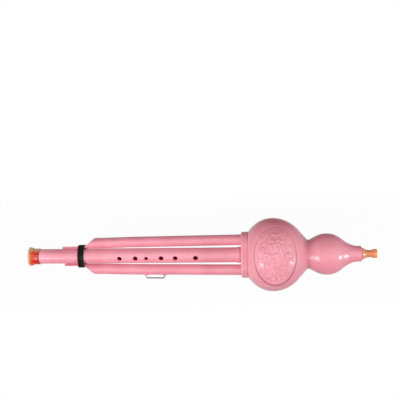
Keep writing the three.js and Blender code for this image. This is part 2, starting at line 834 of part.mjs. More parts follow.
function makeMouthpieceCork() {
	const middle = neckEndStation - mouthpieceTenonLength / 2;
	const start = middle - mouthpieceCorkLength / 2;
	const outer = neckSocketRadius - fitGap;
	const inner = mouthpieceTenonRadius + fitGap;
	const sleeve = tube(inner, outer, start, start + mouthpieceCorkLength, pipeSides);
	return piece('mouthpiece_cork', sleeve, cork());
}

// The whole instrument, laid down

// It lies on the facets under the bulb and under the ferrule's rim, so the tilt is that of the line from
// the rim that grazes the bulb.
function restTilt() {
	const rim = ferruleRimRadius * Math.cos(Math.PI / pipeSides);
	const slopes = outline.map((here) => {
		const drop = here.x * Math.cos(Math.PI / gourdSides) - rim;
		return drop / (here.y + gourdStation - ferruleRimRounding);
	});
	return Math.atan(Math.max(...slopes));
}

const instrument = new THREE.Group();
instrument.add(...makeGourdShells(), makeStock(), makeGasket());
instrument.add(makeMainPipeGroup());
instrument.add(makeDroneGroup('left', 1, leftTongueReach), makeDroneGroup('right', -1, rightTongueReach));
instrument.add(makeBand(), makeFerrule(), makeTailCork(), makeMouthpiece(), makeMouthpieceCork());
instrument.rotation.y = -restTilt();

const group = new THREE.Group();
group.add(instrument);
group.updateMatrixWorld(true);
const bounds = new THREE.Box3().setFromObject(group, true);
instrument.position.set(-(bounds.min.x + bounds.max.x) / 2, 0, -bounds.min.z);

export default group;
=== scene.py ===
"""Looks of a pink student hulusi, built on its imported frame.

Every piece is modelled in millimetres in the instrument's own frame: the axis is X, zero is the tail
ferrule's end, and the finger holes and the medallion face Z. A last matrix lays it where the frame says.
"""

import json
import logging
import math
from dataclasses import dataclass
from enum import Enum
from functools import cached_property
from typing import Callable, Sequence

import bmesh
import bpy
import numpy as np
from mathutils import Matrix, Vector


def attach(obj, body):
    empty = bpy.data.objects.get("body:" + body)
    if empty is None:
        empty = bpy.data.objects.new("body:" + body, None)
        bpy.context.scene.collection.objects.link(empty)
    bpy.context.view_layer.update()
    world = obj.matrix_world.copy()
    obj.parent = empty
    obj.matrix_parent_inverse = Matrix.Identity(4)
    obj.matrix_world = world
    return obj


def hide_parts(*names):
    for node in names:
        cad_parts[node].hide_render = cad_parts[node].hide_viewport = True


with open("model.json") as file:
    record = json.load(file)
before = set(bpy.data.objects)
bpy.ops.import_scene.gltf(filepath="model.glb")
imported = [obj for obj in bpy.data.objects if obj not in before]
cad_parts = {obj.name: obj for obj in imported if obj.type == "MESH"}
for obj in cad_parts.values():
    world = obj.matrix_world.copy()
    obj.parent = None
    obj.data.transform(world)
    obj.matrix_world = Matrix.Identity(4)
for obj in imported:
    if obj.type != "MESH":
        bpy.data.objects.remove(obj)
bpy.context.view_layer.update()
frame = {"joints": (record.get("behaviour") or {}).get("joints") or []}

log = logging.getLogger("hulusi")

Colour = tuple[float, float, float, float]
Point = tuple[float, float]
Point3 = tuple[float, float, float]
Item = bpy.types.Object
Material = bpy.types.Material

# Millimetres in a metre, and the sizes in millimetres that several sub-assemblies share

METRE = 1000.0
COLLAR_FACE = 260.9
GOURD_BASE = 269.2
PIPE_RADIUS = 9.0
DRONE_RADIUS = 6.4
DRONE_OFFSET = 18.0
TONGUE_THICKNESS = 2.4


def colour(code: str) -> Colour:
    """Turn a hex colour into linear light.

    Args:
        code: Six hex digits, as a screen shows the colour.

    Returns:
        Red, green, blue and alpha for a shader socket.
    """
    shown = [int(code[i : i + 2], 16) / 255 for i in (0, 2, 4)]
    linear = [c / 12.92 if c <= 0.04045 else ((c + 0.055) / 1.055) ** 2.4 for c in shown]
    return (linear[0], linear[1], linear[2], 1.0)


class Side(Enum):
    """Which side of the instrument a piece is on, as the sign of Y."""

    LEFT = 1
    RIGHT = -1


class Slot(Enum):
    """The record's material slots."""

    PINK = "pink_plastic"
    WHITE = "white_plastic"
    AMBER = "amber_plastic"
    RED_AMBER = "red_amber_plastic"
    RUBBER = "black_rubber"
    CORK = "cork"
    BRASS = "brass"
    STEEL = "steel"


class Join(Enum):
    """What a piece does with another one: it is cut by it, or takes it in."""

    CUT = "DIFFERENCE"
    ADD = "UNION"


# Placing


@dataclass(frozen=True)
class Lay:
    """Where the instrument lies in the frame: its tail end, and its tilt about Y."""

    start: Vector
    tilt: float

    @classmethod
    def of_frame(cls, hinge_station: float) -> "Lay":
        """Read the place from the main pipe's hinge.

        Args:
            hinge_station: Where the hinge is along the axis, in millimetres.

        Returns:
            The place of the whole instrument.
        """
        hinge = next(j for j in frame["joints"] if j["name"] == "main_pipe_turn")
        axis = Vector(hinge["axis"]).normalized()
        start = Vector(hinge["pos_m"]) - axis * hinge_station / METRE
        return cls(start, math.atan2(axis.z, axis.x))

    def matrix(self) -> Matrix:
        """Return the matrix from the instrument's millimetres to the frame's metres."""
        turn = Matrix.Rotation(-self.tilt, 4, "Y")
        return Matrix.Translation(self.start) @ turn @ Matrix.Scale(1 / METRE, 4)


# Modelling


@dataclass(frozen=True)
class Bench:
    """The modelling operators, used as by hand, one piece at a time."""

    doubles: float = 0.002

    def clear(self) -> None:
        """Leave edit mode and deselect everything."""
        if bpy.context.object and bpy.context.object.mode != "OBJECT":
            bpy.ops.object.mode_set(mode="OBJECT")
        bpy.ops.object.select_all(action="DESELECT")

    def pick(self, piece: Item) -> None:
        """Select one piece alone and make it active.

        Args:
            piece: The piece.
        """
        self.clear()
        piece.select_set(True)
        bpy.context.view_layer.objects.active = piece

    def edit(self, piece: Item) -> None:
        """Open one piece in edit mode with all of it selected.

        Args:
            piece: The piece.
        """
        self.pick(piece)
        bpy.ops.object.mode_set(mode="EDIT")
        bpy.ops.mesh.select_all(action="SELECT")

    def select(self, piece: Item, rule: Callable[[Vector], bool], whole: bool = True) -> None:
        """Select the faces or edges of the piece in edit mode by their place.

        Args:
            piece: The piece that is open in edit mode.
            rule: Says of a corner or a middle whether it counts.
            whole: True selects faces by their middle, False edges by both corners.
        """
        bpy.ops.mesh.select_all(action="DESELECT")
        mesh = bmesh.from_edit_mesh(piece.data)
        if whole:
            for face in mesh.faces:
                face.select_set(bool(rule(face.calc_center_median())))
        else:
            for edge in mesh.edges:
                edge.select_set(all(rule(corner.co) for corner in edge.verts))
        bmesh.update_edit_mesh(piece.data)

    def close(self, piece: Item) -> Item:
        """Merge doubles, point the faces outwards and leave edit mode.

        Args:
            piece: The piece that is open in edit mode.

        Returns:
            The same piece.
        """
        bpy.ops.mesh.select_all(action="SELECT")
        bpy.ops.mesh.remove_doubles(threshold=self.doubles)
        bpy.ops.mesh.normals_make_consistent(inside=False)
        bpy.ops.object.mode_set(mode="OBJECT")
        return piece

    def thread(self, name: str, points: Sequence[Vector]) -> Item:
        """Grow a chain of edges from one corner by extrusion, and stay in edit mode.

        Args:
            name: The new object's name.
            points: The corners in order, in millimetres.

        Returns:
            The new object, open in edit mode with all of it selected.
        """
        self.clear()
        bpy.ops.mesh.primitive_plane_add(size=1)
        piece = bpy.context.object
        piece.name = piece.data.name = name
        bpy.ops.object.mode_set(mode="EDIT")
        bpy.ops.mesh.select_all(action="SELECT")
        bpy.ops.mesh.merge(type="CENTER")
        bpy.ops.transform.translate(value=points[0])
        for before, after in zip(points, points[1:]):
            bpy.ops.mesh.extrude_vertices_move(TRANSFORM_OT_translate={"value": after - before})
        bpy.ops.mesh.select_all(action="SELECT")
        return piece

    def turned(self, name: str, outline: Sequence[Point], steps: int = 96, sweep: float = math.tau) -> Item:
        """Spin an outline about the axis.

        Args:
            name: The new object's name.
            outline: Radius and station of each corner, closed or ending on the axis.
            steps: How many steps the sweep has.
            sweep: The angle, from the left side over the front.

        Returns:
            The turned piece.
        """
        piece = self.thread(name, [Vector((station, radius, 0)) for radius, station in outline])
        bpy.ops.mesh.spin(steps=steps, angle=-sweep, center=(0, 0, 0), axis=(1, 0, 0))
        return self.close(piece)

    def rod(self, name: str, radius: float, start: float, end: float, steps: int = 96) -> Item:
        """Turn a plain rod, which serves as a cutter."""
        return self.turned(name, [(0, start), (radius, start), (radius, end), (0, end)], steps)

    def lofted(self, name: str, outline: Sequence[Point], layers: Sequence[Point]) -> Item:
        """Extrude a closed outline along the axis and resize it at each layer.

        Args:
            name: The new object's name.
            outline: Y and Z of each corner, seen from the tail.
            layers: The station of each layer, and how far the outline has grown there.

        Returns:
            The closed solid.
        """
        half = [max(abs(p[k]) for p in outline) for k in (0, 1)]
        station, growth = layers[0]
        scale = [(h + growth) / h for h in half]
        piece = self.thread(name, [Vector((station, y * scale[0], z * scale[1])) for y, z in outline])
        bpy.ops.mesh.edge_face_add()
        for (before, was), (after, now) in zip(layers, layers[1:]):
            bpy.ops.mesh.extrude_region_move(TRANSFORM_OT_translate={"value": (after - before, 0, 0)})
            factor = (1, (half[0] + now) / (half[0] + was), (half[1] + now) / (half[1] + was))
            bpy.ops.transform.resize(value=factor, center_override=(after, 0, 0))
        return self.close(piece)

    def slab(self, name: str, corners: Sequence[Point], low: float, high: float) -> Item:
        """Extrude an outline seen from the front from one height to another.

        Args:
            name: The new object's name.
            corners: X and Y of each corner.
            low: The height of its back.
            high: The height of its front.

        Returns:
            The closed solid.
        """
        piece = self.thread(name, [Vector((x, y, low)) for x, y in corners])
        bpy.ops.mesh.edge_face_add()
        bpy.ops.mesh.extrude_region_move(TRANSFORM_OT_translate={"value": (0, 0, high - low)})
        return self.close(piece)

    def block(self, name: str, low: Point3, high: Point3, rounding: float = 0.0) -> Item:
        """Make a block between two corners, with its edges rounded.

        Args:
            name: The new object's name.
            low: The lowest corner.
            high: The highest corner.
            rounding: The edges' radius.

        Returns:
            The block.
        """
        self.clear()
        bpy.ops.mesh.primitive_cube_add(size=1, location=[(a + b) / 2 for a, b in zip(low, high)])
        piece = bpy.context.object
        piece.name = piece.data.name = name
        bpy.ops.transform.resize(value=[b - a for a, b in zip(low, high)])
        bpy.ops.object.transform_apply(location=True, rotation=True, scale=True)
        if rounding:
            self.edit(piece)
            bpy.ops.mesh.bevel(offset=rounding, segments=4, affect="EDGES")
            self.close(piece)
        return piece

    def modify(self, piece: Item, kind: str, **settings: object) -> None:
        """Add a modifier with its settings and apply it.

        Args:
            piece: The piece.
            kind: The modifier's type.
            settings: Its properties, in the order in which they are set.
        """
        modifier = piece.modifiers.new(kind.lower(), kind)
        for key, value in settings.items():
            setattr(modifier, key, value)
        self.pick(piece)
        bpy.ops.object.modifier_apply(modifier=modifier.name)

    def join(self, piece: Item, other: Item, how: Join = Join.CUT) -> Item:
        """Cut a piece with another one, or add that one to it, and remove the other.

        Args:
            piece: The piece that stays.
            other: The other piece.
            how: What is done.

        Returns:
            The piece that stays.
        """
        self.modify(piece, "BOOLEAN", operation=how.value, object=other, solver="EXACT")
        bpy.data.objects.remove(other)
        return piece

    def smooth(self, piece: Item, angle: float) -> None:
        """Shade a piece smoothly up to an angle in degrees."""
        self.pick(piece)
        bpy.ops.object.shade_smooth_by_angle(angle=math.radians(angle))


bench = Bench()


# Finishes


class Field:
    """One socket's value, with the operators that the finishes use."""

    def __init__(self, sheet: "Sheet", socket: bpy.types.NodeSocket) -> None:
        """Keep the socket and the sheet that it belongs to."""
        self.sheet = sheet
        self.socket = socket

    def __add__(self, other: "Value") -> "Field":
        """Add."""
        return self.sheet.maths("ADD", self, other)

    def __radd__(self, other: "Value") -> "Field":
        """Add to a number."""
        return self.sheet.maths("ADD", other, self)

    def __sub__(self, other: "Value") -> "Field":
        """Subtract."""
        return self.sheet.maths("SUBTRACT", self, other)

    def __rsub__(self, other: "Value") -> "Field":
        """Subtract from a number."""
        return self.sheet.maths("SUBTRACT", other, self)

    def __mul__(self, other: "Value") -> "Field":
        """Multiply."""
        return self.sheet.maths("MULTIPLY", self, other)

    def __rmul__(self, other: "Value") -> "Field":
        """Multiply a number."""
        return self.sheet.maths("MULTIPLY", other, self)

    def __truediv__(self, other: "Value") -> "Field":
        """Divide."""
        return self.sheet.maths("DIVIDE", self, other)

    def __rtruediv__(self, other: "Value") -> "Field":
        """Divide a number."""
        return self.sheet.maths("DIVIDE", other, self)

    def __pow__(self, other: "Value") -> "Field":
        """Raise to a power."""
        return self.sheet.maths("POWER", self, other)

    def __rpow__(self, other: "Value") -> "Field":
        """Raise a number to this power."""
        return self.sheet.maths("POWER", other, self)

    def __abs__(self) -> "Field":
        """Drop the sign."""
        return self.sheet.maths("ABSOLUTE", self)

    def step(self, low: float, high: float) -> "Field":
        """Rise smoothly from 0 at low to 1 at high."""
        sockets = {"Value": self, "From Min": low, "From Max": high}
        return self.sheet.node("ShaderNodeMapRange", {"interpolation_type": "SMOOTHSTEP"}, sockets)


Value = Field | float | Sequence[float]
Key = str | int
Sockets = dict[Key, Value]
Settings = dict[str, object]
Shade = tuple[Field, Colour]


class Sheet:
    """A node tree, filled through one method."""

    def __init__(self, tree: bpy.types.NodeTree) -> None:
        """Empty the tree."""
        self.tree = tree
        tree.nodes.clear()

    def node(
        self, kind: str, settings: Settings | None = None, sockets: Sockets | None = None, output: Key = 0
    ) -> Field:
        """Add a node.

        Args:
            kind: The node's type.
            settings: Its properties, which are set first; stops fills a ramp.
            sockets: Values or fields for its inputs, by name, identifier or place.
            output: Which output comes back.

        Returns:
            The output as a field.
        """
        node = self.tree.nodes.new(kind)
        for key, value in (settings or {}).items():
            if key == "stops":
                self._fill_ramp(node.color_ramp, value)
            else:
                setattr(node, key, value)
        for key, value in (sockets or {}).items():
            socket = self._find(node.inputs, key)
            if isinstance(value, Field):
                self.tree.links.new(value.socket, socket)
            else:
                socket.default_value = value
        found = self._find(node.outputs, output) if len(node.outputs) else None
        return Field(self, found)

    @staticmethod
    def _fill_ramp(ramp: bpy.types.ColorRamp, stops: Sequence[tuple[float, Colour]]) -> None:
        """Set a ramp's stops, in order.

        Args:
            ramp: The ramp.
            stops: The place and the colour of each stop.
        """
        while len(ramp.elements) < len(stops):
            ramp.elements.new(1.0)
        for element, (place, value) in zip(ramp.elements, stops):
            element.position = place
            element.color = value

    @staticmethod
    def _find(sockets: Sequence[bpy.types.NodeSocket], key: Key) -> bpy.types.NodeSocket:
        """Find a socket.

        Args:
            sockets: A node's inputs or outputs.
            key: The socket's place, identifier or name.

        Returns:
            The first such socket that is in use.
        """
        if isinstance(key, int):
            return sockets[key]
        named = [s for s in sockets if key in (s.identifier, s.name)]
        return next((s for s in named if s.enabled), named[0])

    def maths(self, operation: str, *values: Value) -> Field:
        """Add a Math node on numbers."""
        return self.node("ShaderNodeMath", {"operation": operation}, dict(enumerate(values)))

    def mix(self, factor: Value, first: Value, second: Value) -> Field:
        """Mix two colours, the second one's share being the factor."""
        sockets = {"Factor_Float": factor, "A_Color": first, "B_Color": second}
        return self.node("ShaderNodeMix", {"data_type": "RGBA"}, sockets, "Result_Color")

    def axis(self, place: Field, name: str) -> Field:
        """Return one coordinate of a place."""
        return self.node("ShaderNodeSeparateXYZ", None, {0: place}, name)


class Paint(Sheet):
    """A new material's sheet."""

    def __init__(self, name: str) -> None:
        """Make the material.

        Args:
            name: The material's name.
        """
        self.material = bpy.data.materials.new(name)
        self.material.use_nodes = True
        super().__init__(self.material.node_tree)

    def cover(self, surface: Field) -> Material:
        """Join a surface to the output and return the material."""
        self.node("ShaderNodeOutputMaterial", None, {"Surface": surface})
        return self.material


class Coat(Paint):
    """The sheet of one of the instrument's finishes, in the instrument's own millimetres."""

    def __init__(self, name: str, lay: Lay) -> None:
        """Make the material and its place on the instrument.

        Args:
            name: The material's name.
            lay: Where the instrument lies.
        """
        super().__init__(name)
        here = self.node("ShaderNodeTexCoord", output="Object")
        start, turn = lay.matrix().inverted().translation, (0, lay.tilt, 0)
        sockets = {"Vector": here, "Location": start, "Rotation": turn, "Scale": (METRE,) * 3}
        self.here = self.node("ShaderNodeMapping", {"vector_type": "POINT"}, sockets)

    def part(self, axis: str) -> Field:
        """Return one coordinate on the instrument, in millimetres."""
        return self.axis(self.here, axis)

    def noise(self, size: float, detail: float = 2.0, stretch: Point3 = (1, 1, 1), seed: float = 0) -> Field:
        """Return noise from 0 to 1.

        Args:
            size: How large its patches are, in millimetres.
            detail: How many finer layers it has.
            stretch: How much longer it is along each axis.
            seed: Moves it to another place.

        Returns:
            The noise.
        """
        scale = [1 / (size * s) for s in stretch]
        sockets = {"Vector": self.here, "Scale": scale, "Location": (seed,) * 3}
        place = self.node("ShaderNodeMapping", None, sockets)
        return self.node("ShaderNodeTexNoise", None, {"Vector": place, "Scale": 1.0, "Detail": detail})

    def bump(self, height: Field, depth: float, under: Field | None = None) -> Field:
        """Return a normal.

        Args:
            height: A height of 0 to 1.
            depth: How deep that is, in millimetres.
            under: A coarser normal that it is added to.

        Returns:
            The normal.
        """
        sockets: Sockets = {"Height": height, "Strength": 1.0, "Distance": depth / METRE}
        if under is not None:
            sockets["Normal"] = under
        return self.node("ShaderNodeBump", None, sockets)

    def shader(self, base: Field, rough: Field, normal: Field, fixed: Sockets | None = None) -> Material:
        """Join the Principled shader to the output.

        Args:
            base: The colour.
            rough: The roughness.
            normal: The normal.
            fixed: The shader's other sockets, the same all over the surface.

        Returns:
            The material.
        """
        sockets = {"Base Color": base, "Roughness": rough, "Normal": normal, **(fixed or {})}
        return self.cover(self.node("ShaderNodeBsdfPrincipled", None, sockets))


@dataclass(frozen=True)
class PinkPlastic:
    """Smooth moulded plastic, a little uneven in tone and gloss, with fine scuffs."""

    tone: Colour = colour("ef9caa")
    deep: Colour = colour("e88f9f")
    pale: Colour = colour("f6aeb9")
    roughness: float = 0.27
    patch_size: float = 26.0
    mottle_size: float = 3.2
    scuff_size: float = 1.1
    wave_size: float = 14.0
    wave_depth: float = 0.12
    grain_size: float = 0.9
    grain_depth: float = 0.0025

    def dress(self, coat: Coat, *shades: Shade) -> Material:
        """Fill the sheet.

        Args:
            coat: The material's sheet.
            shades: Painted shade as darker tones, each with a field that is 1 where it covers the plastic.

        Returns:
            The material.
        """
        patches = coat.noise(self.patch_size, detail=3)
        mottle = coat.noise(self.mottle_size, detail=4, seed=7)
        scuffs = coat.noise(self.scuff_size, detail=3, stretch=(9, 1, 1), seed=3).step(0.63, 0.74)
        base = coat.mix(patches.step(0.35, 0.7), self.tone, self.deep)
        base = coat.mix(mottle.step(0.5, 0.85) * 0.35, base, self.pale)
        base = coat.mix(scuffs * 0.12, base, self.pale)
        for cover, tone in shades:
            base = coat.mix(cover, base, tone)
        waves = coat.bump(coat.noise(self.wave_size, seed=11), self.wave_depth)
        grain = coat.bump(coat.noise(self.grain_size, seed=5), self.grain_depth, waves)
        rough = self.roughness + mottle * 0.07 + scuffs * 0.08
        fixed = {"IOR": 1.5, "Coat Weight": 0.5, "Coat Roughness": 0.12}
        return coat.shader(base, rough, grain, fixed)


@dataclass(frozen=True)
class ClearAmber:
    """Tinted see-through plastic, drawn as a run of tones along the axis."""

    stops: tuple[tuple[float, Colour], ...]
    start: float
    length: float
    polish: float
    # Painted light: how much of the paler tone is painted over the +Y side
    pale: float = 0.0
    roughness: float = 0.24
    bend: float = 0.22
    streak: Colour = colour("e07a3c")
    painted_light: Colour = colour("ffd09c")
    painted_light_side: Point = (4.0, 9.5)

    def dress(self, coat: Coat) -> Material:
        """Fill the sheet, the run bent by flow marks of the moulding.

        Args:
            coat: The material's sheet.

        Returns:
            The material.
        """
        flow = coat.noise(5, detail=3, stretch=(2.5, 1, 1))
        along = (coat.part("X") - self.start) / self.length + (flow - 0.5) * self.bend
        run = coat.node("ShaderNodeValToRGB", {"stops": self.stops}, {"Fac": along})
        streaks = coat.noise(1.6, detail=4, stretch=(5, 1, 1), seed=2).step(0.5, 0.8)
        base = coat.mix(streaks * 0.18, run, self.streak)
        # Painted light: the +Y side is painted in a paler, lighter tone
        if self.pale:
            base = coat.mix(coat.part("Y").step(*self.painted_light_side) * self.pale, base, self.painted_light)
        specks = coat.noise(0.5, seed=9).step(0.7, 0.78)
        rough = self.roughness + specks * 0.12 + flow * 0.06
        skin = coat.bump(coat.noise(2.4, detail=3, seed=4), 0.03)
        glow = {"Transmission Weight": 0.18, "Subsurface Weight": 0.25, "Subsurface Scale": 0.002}
        glow["Subsurface Radius"] = (1.0, 0.35, 0.12)
        gloss = {"IOR": 1.55, "Coat Weight": self.polish, "Coat Roughness": 0.07}
        return coat.shader(base, rough, skin, {**gloss, **glow})


@dataclass(frozen=True)
class Rubber:
    """Black rubber with a dull shine, fine pits and a little dust."""

    tone: Colour = colour("140808")
    dust: Colour = colour("2c1918")
    roughness: float = 0.3
    pit_depth: float = 0.05
    rib_depth: float = 0.04

    def dress(self, coat: Coat) -> Material:
        """Fill the sheet.

        Args:
            coat: The material's sheet.

        Returns:
            The material.
        """
        pits = coat.noise(0.45, detail=4)
        smears = coat.noise(4, detail=3, stretch=(0.6, 1.6, 1.6), seed=6)
        dusty = smears.step(0.5, 0.8) * 0.35 + pits.step(0.62, 0.75) * 0.2
        base = coat.mix(dusty, self.tone, self.dust)
        wave = {"Vector": coat.here, "Scale": 0.75, "Distortion": 0.6, "Detail": 2.0}
        ribs = coat.node("ShaderNodeTexWave", {"bands_direction": "X"}, wave)
        skin = coat.bump(pits, self.pit_depth, coat.bump(ribs, self.rib_depth))
        return coat.shader(base, self.roughness + smears * 0.18, skin, {"Specular IOR Level": 0.16})


@dataclass(frozen=True)
class Cork:
    """Sanded cork with dark pores."""

    tone: Colour = colour("c1946a")
    deep: Colour = colour("8a5d3b")
    pore: Colour = colour("4a2e1c")
    roughness: float = 0.86
    depth: float = 0.12

    def dress(self, coat: Coat) -> Material:
        """Fill the sheet.

        Args:
            coat: The material's sheet.

        Returns:
            The material.
        """
        cells = coat.node("ShaderNodeTexVoronoi", None, {"Vector": coat.here, "Scale": 1.3}, "Distance")
        pores = coat.noise(0.8, detail=4, seed=8).step(0.62, 0.72)
        base = coat.mix(cells.step(0.2, 0.8), self.tone, self.deep)
        base = coat.mix(pores, base, self.pore)
        skin = coat.bump(cells - pores * 0.7, self.depth)
        return coat.shader(base, self.roughness + cells * 0.1, skin)


@dataclass(frozen=True)
class Metal:
    """Bare metal with drawing or rolling lines along the axis and faint tarnish."""

    tone: Colour
    tarnish: Colour
    roughness: float
    line_size: float
    line_depth: float = 0.008

    def dress(self, coat: Coat) -> Material:
        """Fill the sheet.

        Args:
            coat: The material's sheet.

        Returns:
            The material.
        """
        drawn = coat.noise(self.line_size, detail=3, stretch=(40, 1, 1))
        stain = coat.noise(2.6, detail=4, seed=5)
        base = coat.mix(stain.step(0.5, 0.75) * 0.6, self.tone, self.tarnish)
        rough = self.roughness + drawn * 0.12 + stain.step(0.5, 0.8) * 0.15
        return coat.shader(base, rough, coat.bump(drawn, self.line_depth), {"Metallic": 1.0})


@dataclass(frozen=True)
class WhitePlastic:
    """Plain moulded plastic inside the gourd, matte and a little yellowed."""

    tone: Colour = colour("ebe6da")
    aged: Colour = colour("d8ceb8")
    roughness: float = 0.5
    grain_depth: float = 0.02

    def dress(self, coat: Coat) -> Material:
        """Fill the sheet.

        Args:
            coat: The material's sheet.

        Returns:
            The material.
        """
        patches = coat.noise(7, detail=3)
        grain = coat.noise(0.35, detail=3, seed=4)
        base = coat.mix(patches.step(0.45, 0.75) * 0.7, self.tone, self.aged)
        skin = coat.bump(grain, self.grain_depth)
        return coat.shader(base, self.roughness + grain * 0.15, skin)


Kind = PinkPlastic | ClearAmber | Rubber | Cork | Metal | WhitePlastic

BELL_RUN = (
    (0.0, colour("f7c690")),
    (0.16, colour("f89d66")),
    (0.32, colour("ea4a1e")),
    (0.62, colour("dc2c10")),
    (0.92, colour("c42f30")),
)
NOZZLE_RUN = (
    (0.0, colour("f4ae90")),
    (0.2, colour("f8a274")),
    (0.45, colour("f08a55")),
    (0.75, colour("fa9c5e")),
    (1.0, colour("f0b183")),
)


@dataclass(frozen=True)
class Finish:
    """A dressed material and the record's slot that it is for."""

    material: Material
    slot: Slot


# Putting pieces in place


class Workshop:
    """Every finish of this instrument, made once, and the fitting of its pieces."""

    def __init__(self, lay: Lay, gourd: "Gourd", pipe: "MainPipe") -> None:
        """Make the finishes.

        Args:
            lay: Where the instrument lies.
            gourd: Paints shade on its own sheet.
            pipe: Paints shade on its own sheet.
        """
        self.lay = lay
        pink = PinkPlastic()
        deeper = PinkPlastic(colour("ea93a2"), colour("e38697"), colour("f3a8b4"))
        bell = ClearAmber(BELL_RUN, start=0.0, length=13.0, polish=0.25, pale=0.8)
        nozzle = ClearAmber(NOZZLE_RUN, start=402.0, length=18.0, polish=0.3)
        brass = Metal(colour("d3ac58"), colour("a07a36"), roughness=0.26, line_size=0.12)
        steel = Metal(colour("a39b99"), colour("7a706e"), roughness=0.25, line_size=0.08)
        self.gourd = self._finish(pink, Slot.PINK, "_gourd", gourd.shades)
        self.pink = self._finish(pink, Slot.PINK)
        self.drone = self._finish(deeper, Slot.PINK, "_drones")
        self.tube = self._finish(pink, Slot.PINK, "_tube", pipe.shades)
        self.bell = self._finish(bell, Slot.RED_AMBER)
        self.nozzle = self._finish(nozzle, Slot.AMBER)
        self.rubber = self._finish(Rubber(), Slot.RUBBER)
        self.cork = self._finish(Cork(), Slot.CORK)
        self.brass = self._finish(brass, Slot.BRASS)
        self.steel = self._finish(steel, Slot.STEEL)
        self.white = self._finish(WhitePlastic(), Slot.WHITE)

    def _finish(
        self, kind: Kind, slot: Slot, use: str = "", shades: Callable[[Coat], Sequence[Shade]] | None = None
    ) -> Finish:
        """Make one finish.

        Args:
            kind: Fills the sheet.
            slot: The record's slot, which names the material.
            use: Follows the slot in the name of a finish with a use of its own.
            shades: Gives the painted shade of a piece that has its own.

        Returns:
            The finish.
        """
        coat = Coat(slot.value + use, self.lay)
        return Finish(kind.dress(coat, *(shades(coat) if shades else ())), slot)

    def seat(
        self, piece: Item, finish: Finish, body: str, node: str, own: Matrix | None = None, angle: float = 35
    ) -> None:
        """Smooth a piece, lay it, dress it and let it stand for its node.

        Args:
            piece: The finished mesh in millimetres.
            finish: Its finish.
            body: The body that it rides on.
            node: The node that it stands for.
            own: Its own matrix on the instrument, where it has one.
            angle: The widest bend that is shaded smoothly, in degrees.
        """
        bench.smooth(piece, angle)
        piece.data.transform(self.lay.matrix() @ (own or Matrix.Identity(4)))
        piece.data.materials.clear()
        piece.data.materials.append(finish.material)
        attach(piece, body)
        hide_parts(node)
        log.info("%s: %d faces on %s", piece.name, len(piece.data.polygons), body)


# Outlines


def arc(centre: Point, radii: Point, start: float, end: float, pieces: int) -> list[Point]:
    """Return points on an ellipse's arc.

    Args:
        centre: Radius and station of the ellipse's centre.
        radii: Its half sizes across and along the axis.
        start: The first angle, in degrees from straight outwards towards the mouthpiece.
        end: The last angle.
        pieces: How many pieces the arc has.

    Returns:
        Radius and station of each point, both ends included.
    """
    angles = np.radians(np.linspace(start, end, pieces + 1))
    return [(centre[0] + radii[0] * math.cos(a), centre[1] + radii[1] * math.sin(a)) for a in angles]


def quarter(centre: Point, radius: float, start: float, pieces: int) -> list[Point]:
    """Return points on a quarter of a circle from an angle on, both ends included."""
    return arc(centre, (radius, radius), start, start + 90, pieces)


def bezier(controls: Sequence[Point], pieces: int) -> list[Point]:
    """Return points on a Bezier curve of any order.

    Args:
        controls: Its control points.
        pieces: How many pieces the curve has.

    Returns:
        The points, both ends included.
    """
    found = []
    for share in np.linspace(0, 1, pieces + 1):
        level = [np.array(c, float) for c in controls]
        while len(level) > 1:
            level = [a + (b - a) * share for a, b in zip(level, level[1:])]
        found.append((float(level[0][0]), float(level[0][1])))
    return found


def line(start: Point, end: Point, pieces: int) -> list[Point]:
    """Return points on a straight line, both ends included."""
    return bezier([start, end], pieces)


def oval(half_width: float, half_height: float, corners: int = 144, power: float = 2.6) -> list[Point]:
    """Return a superellipse.

    Args:
        half_width: Half its width.
        half_height: Half its height.
        corners: How many corners it has.
        power: 2 is an ellipse, and more is fuller.

    Returns:
        Y and Z of each corner.
    """
    points = []
    for angle in (np.arange(corners) + 0.5) * math.tau / corners:
        c, s = math.cos(angle), math.sin(angle)
        y = half_width * math.copysign(abs(c) ** (2 / power), c)
        z = half_height * math.copysign(abs(s) ** (2 / power), s)
        points.append((y, z))
    return points


def rounded_layers(
    start: float, end: float, roundings: Point, pieces: int = 5, between: Sequence[Point] = ()
) -> list[Point]:
    """Return a loft's layers for a plate with rounded edges.

    Args:
        start: Its first station.
        end: Its last station.
        roundings: The radius of its first and of its last edge.
        pieces: How many pieces each rounding has.
        between: Layers between the edges, such as a groove's.

    Returns:
        The station of each layer, and how far the outline has grown there.
    """
    angles = [math.pi / 2 * i / pieces for i in range(pieces, -1, -1)]
    bends = [(1 - math.sin(a), math.cos(a) - 1) for a in angles]
    rise, fall = ([(start + r * along, r * across) for along, across in bends] for r in roundings)
    return [*rise, *between, *((end - (station - start), growth) for station, growth in reversed(fall))]


def hole_layers(start: float, end: float) -> list[Point]:
    """Return a loft's layers for a cutter that stands out at both ends."""
    return [(start - 1, 0), (end + 1, 0)]


@dataclass(frozen=True)
class Sleeve:
    """A ring or sleeve round the axis, with rounded outer edges."""

    inner: float
    outer: float
    start: float
    length: float
    edge: float = 0.25

    def turned(self, name: str) -> Item:
        """Turn it.

        Args:
            name: The new object's name.

        Returns:
            The sleeve.
        """
        end, rim = self.start + self.length, self.outer - self.edge
        profile = [(self.inner, self.start), (rim, self.start)]
        profile += quarter((rim, self.start + self.edge), self.edge, -90, 4)[1:]
        profile += quarter((rim, self.start + self.length - self.edge), self.edge, 0, 4)
        return bench.turned(name, [*profile, (self.inner, end), (self.inner, self.start)], 64)


# The medallion's relief


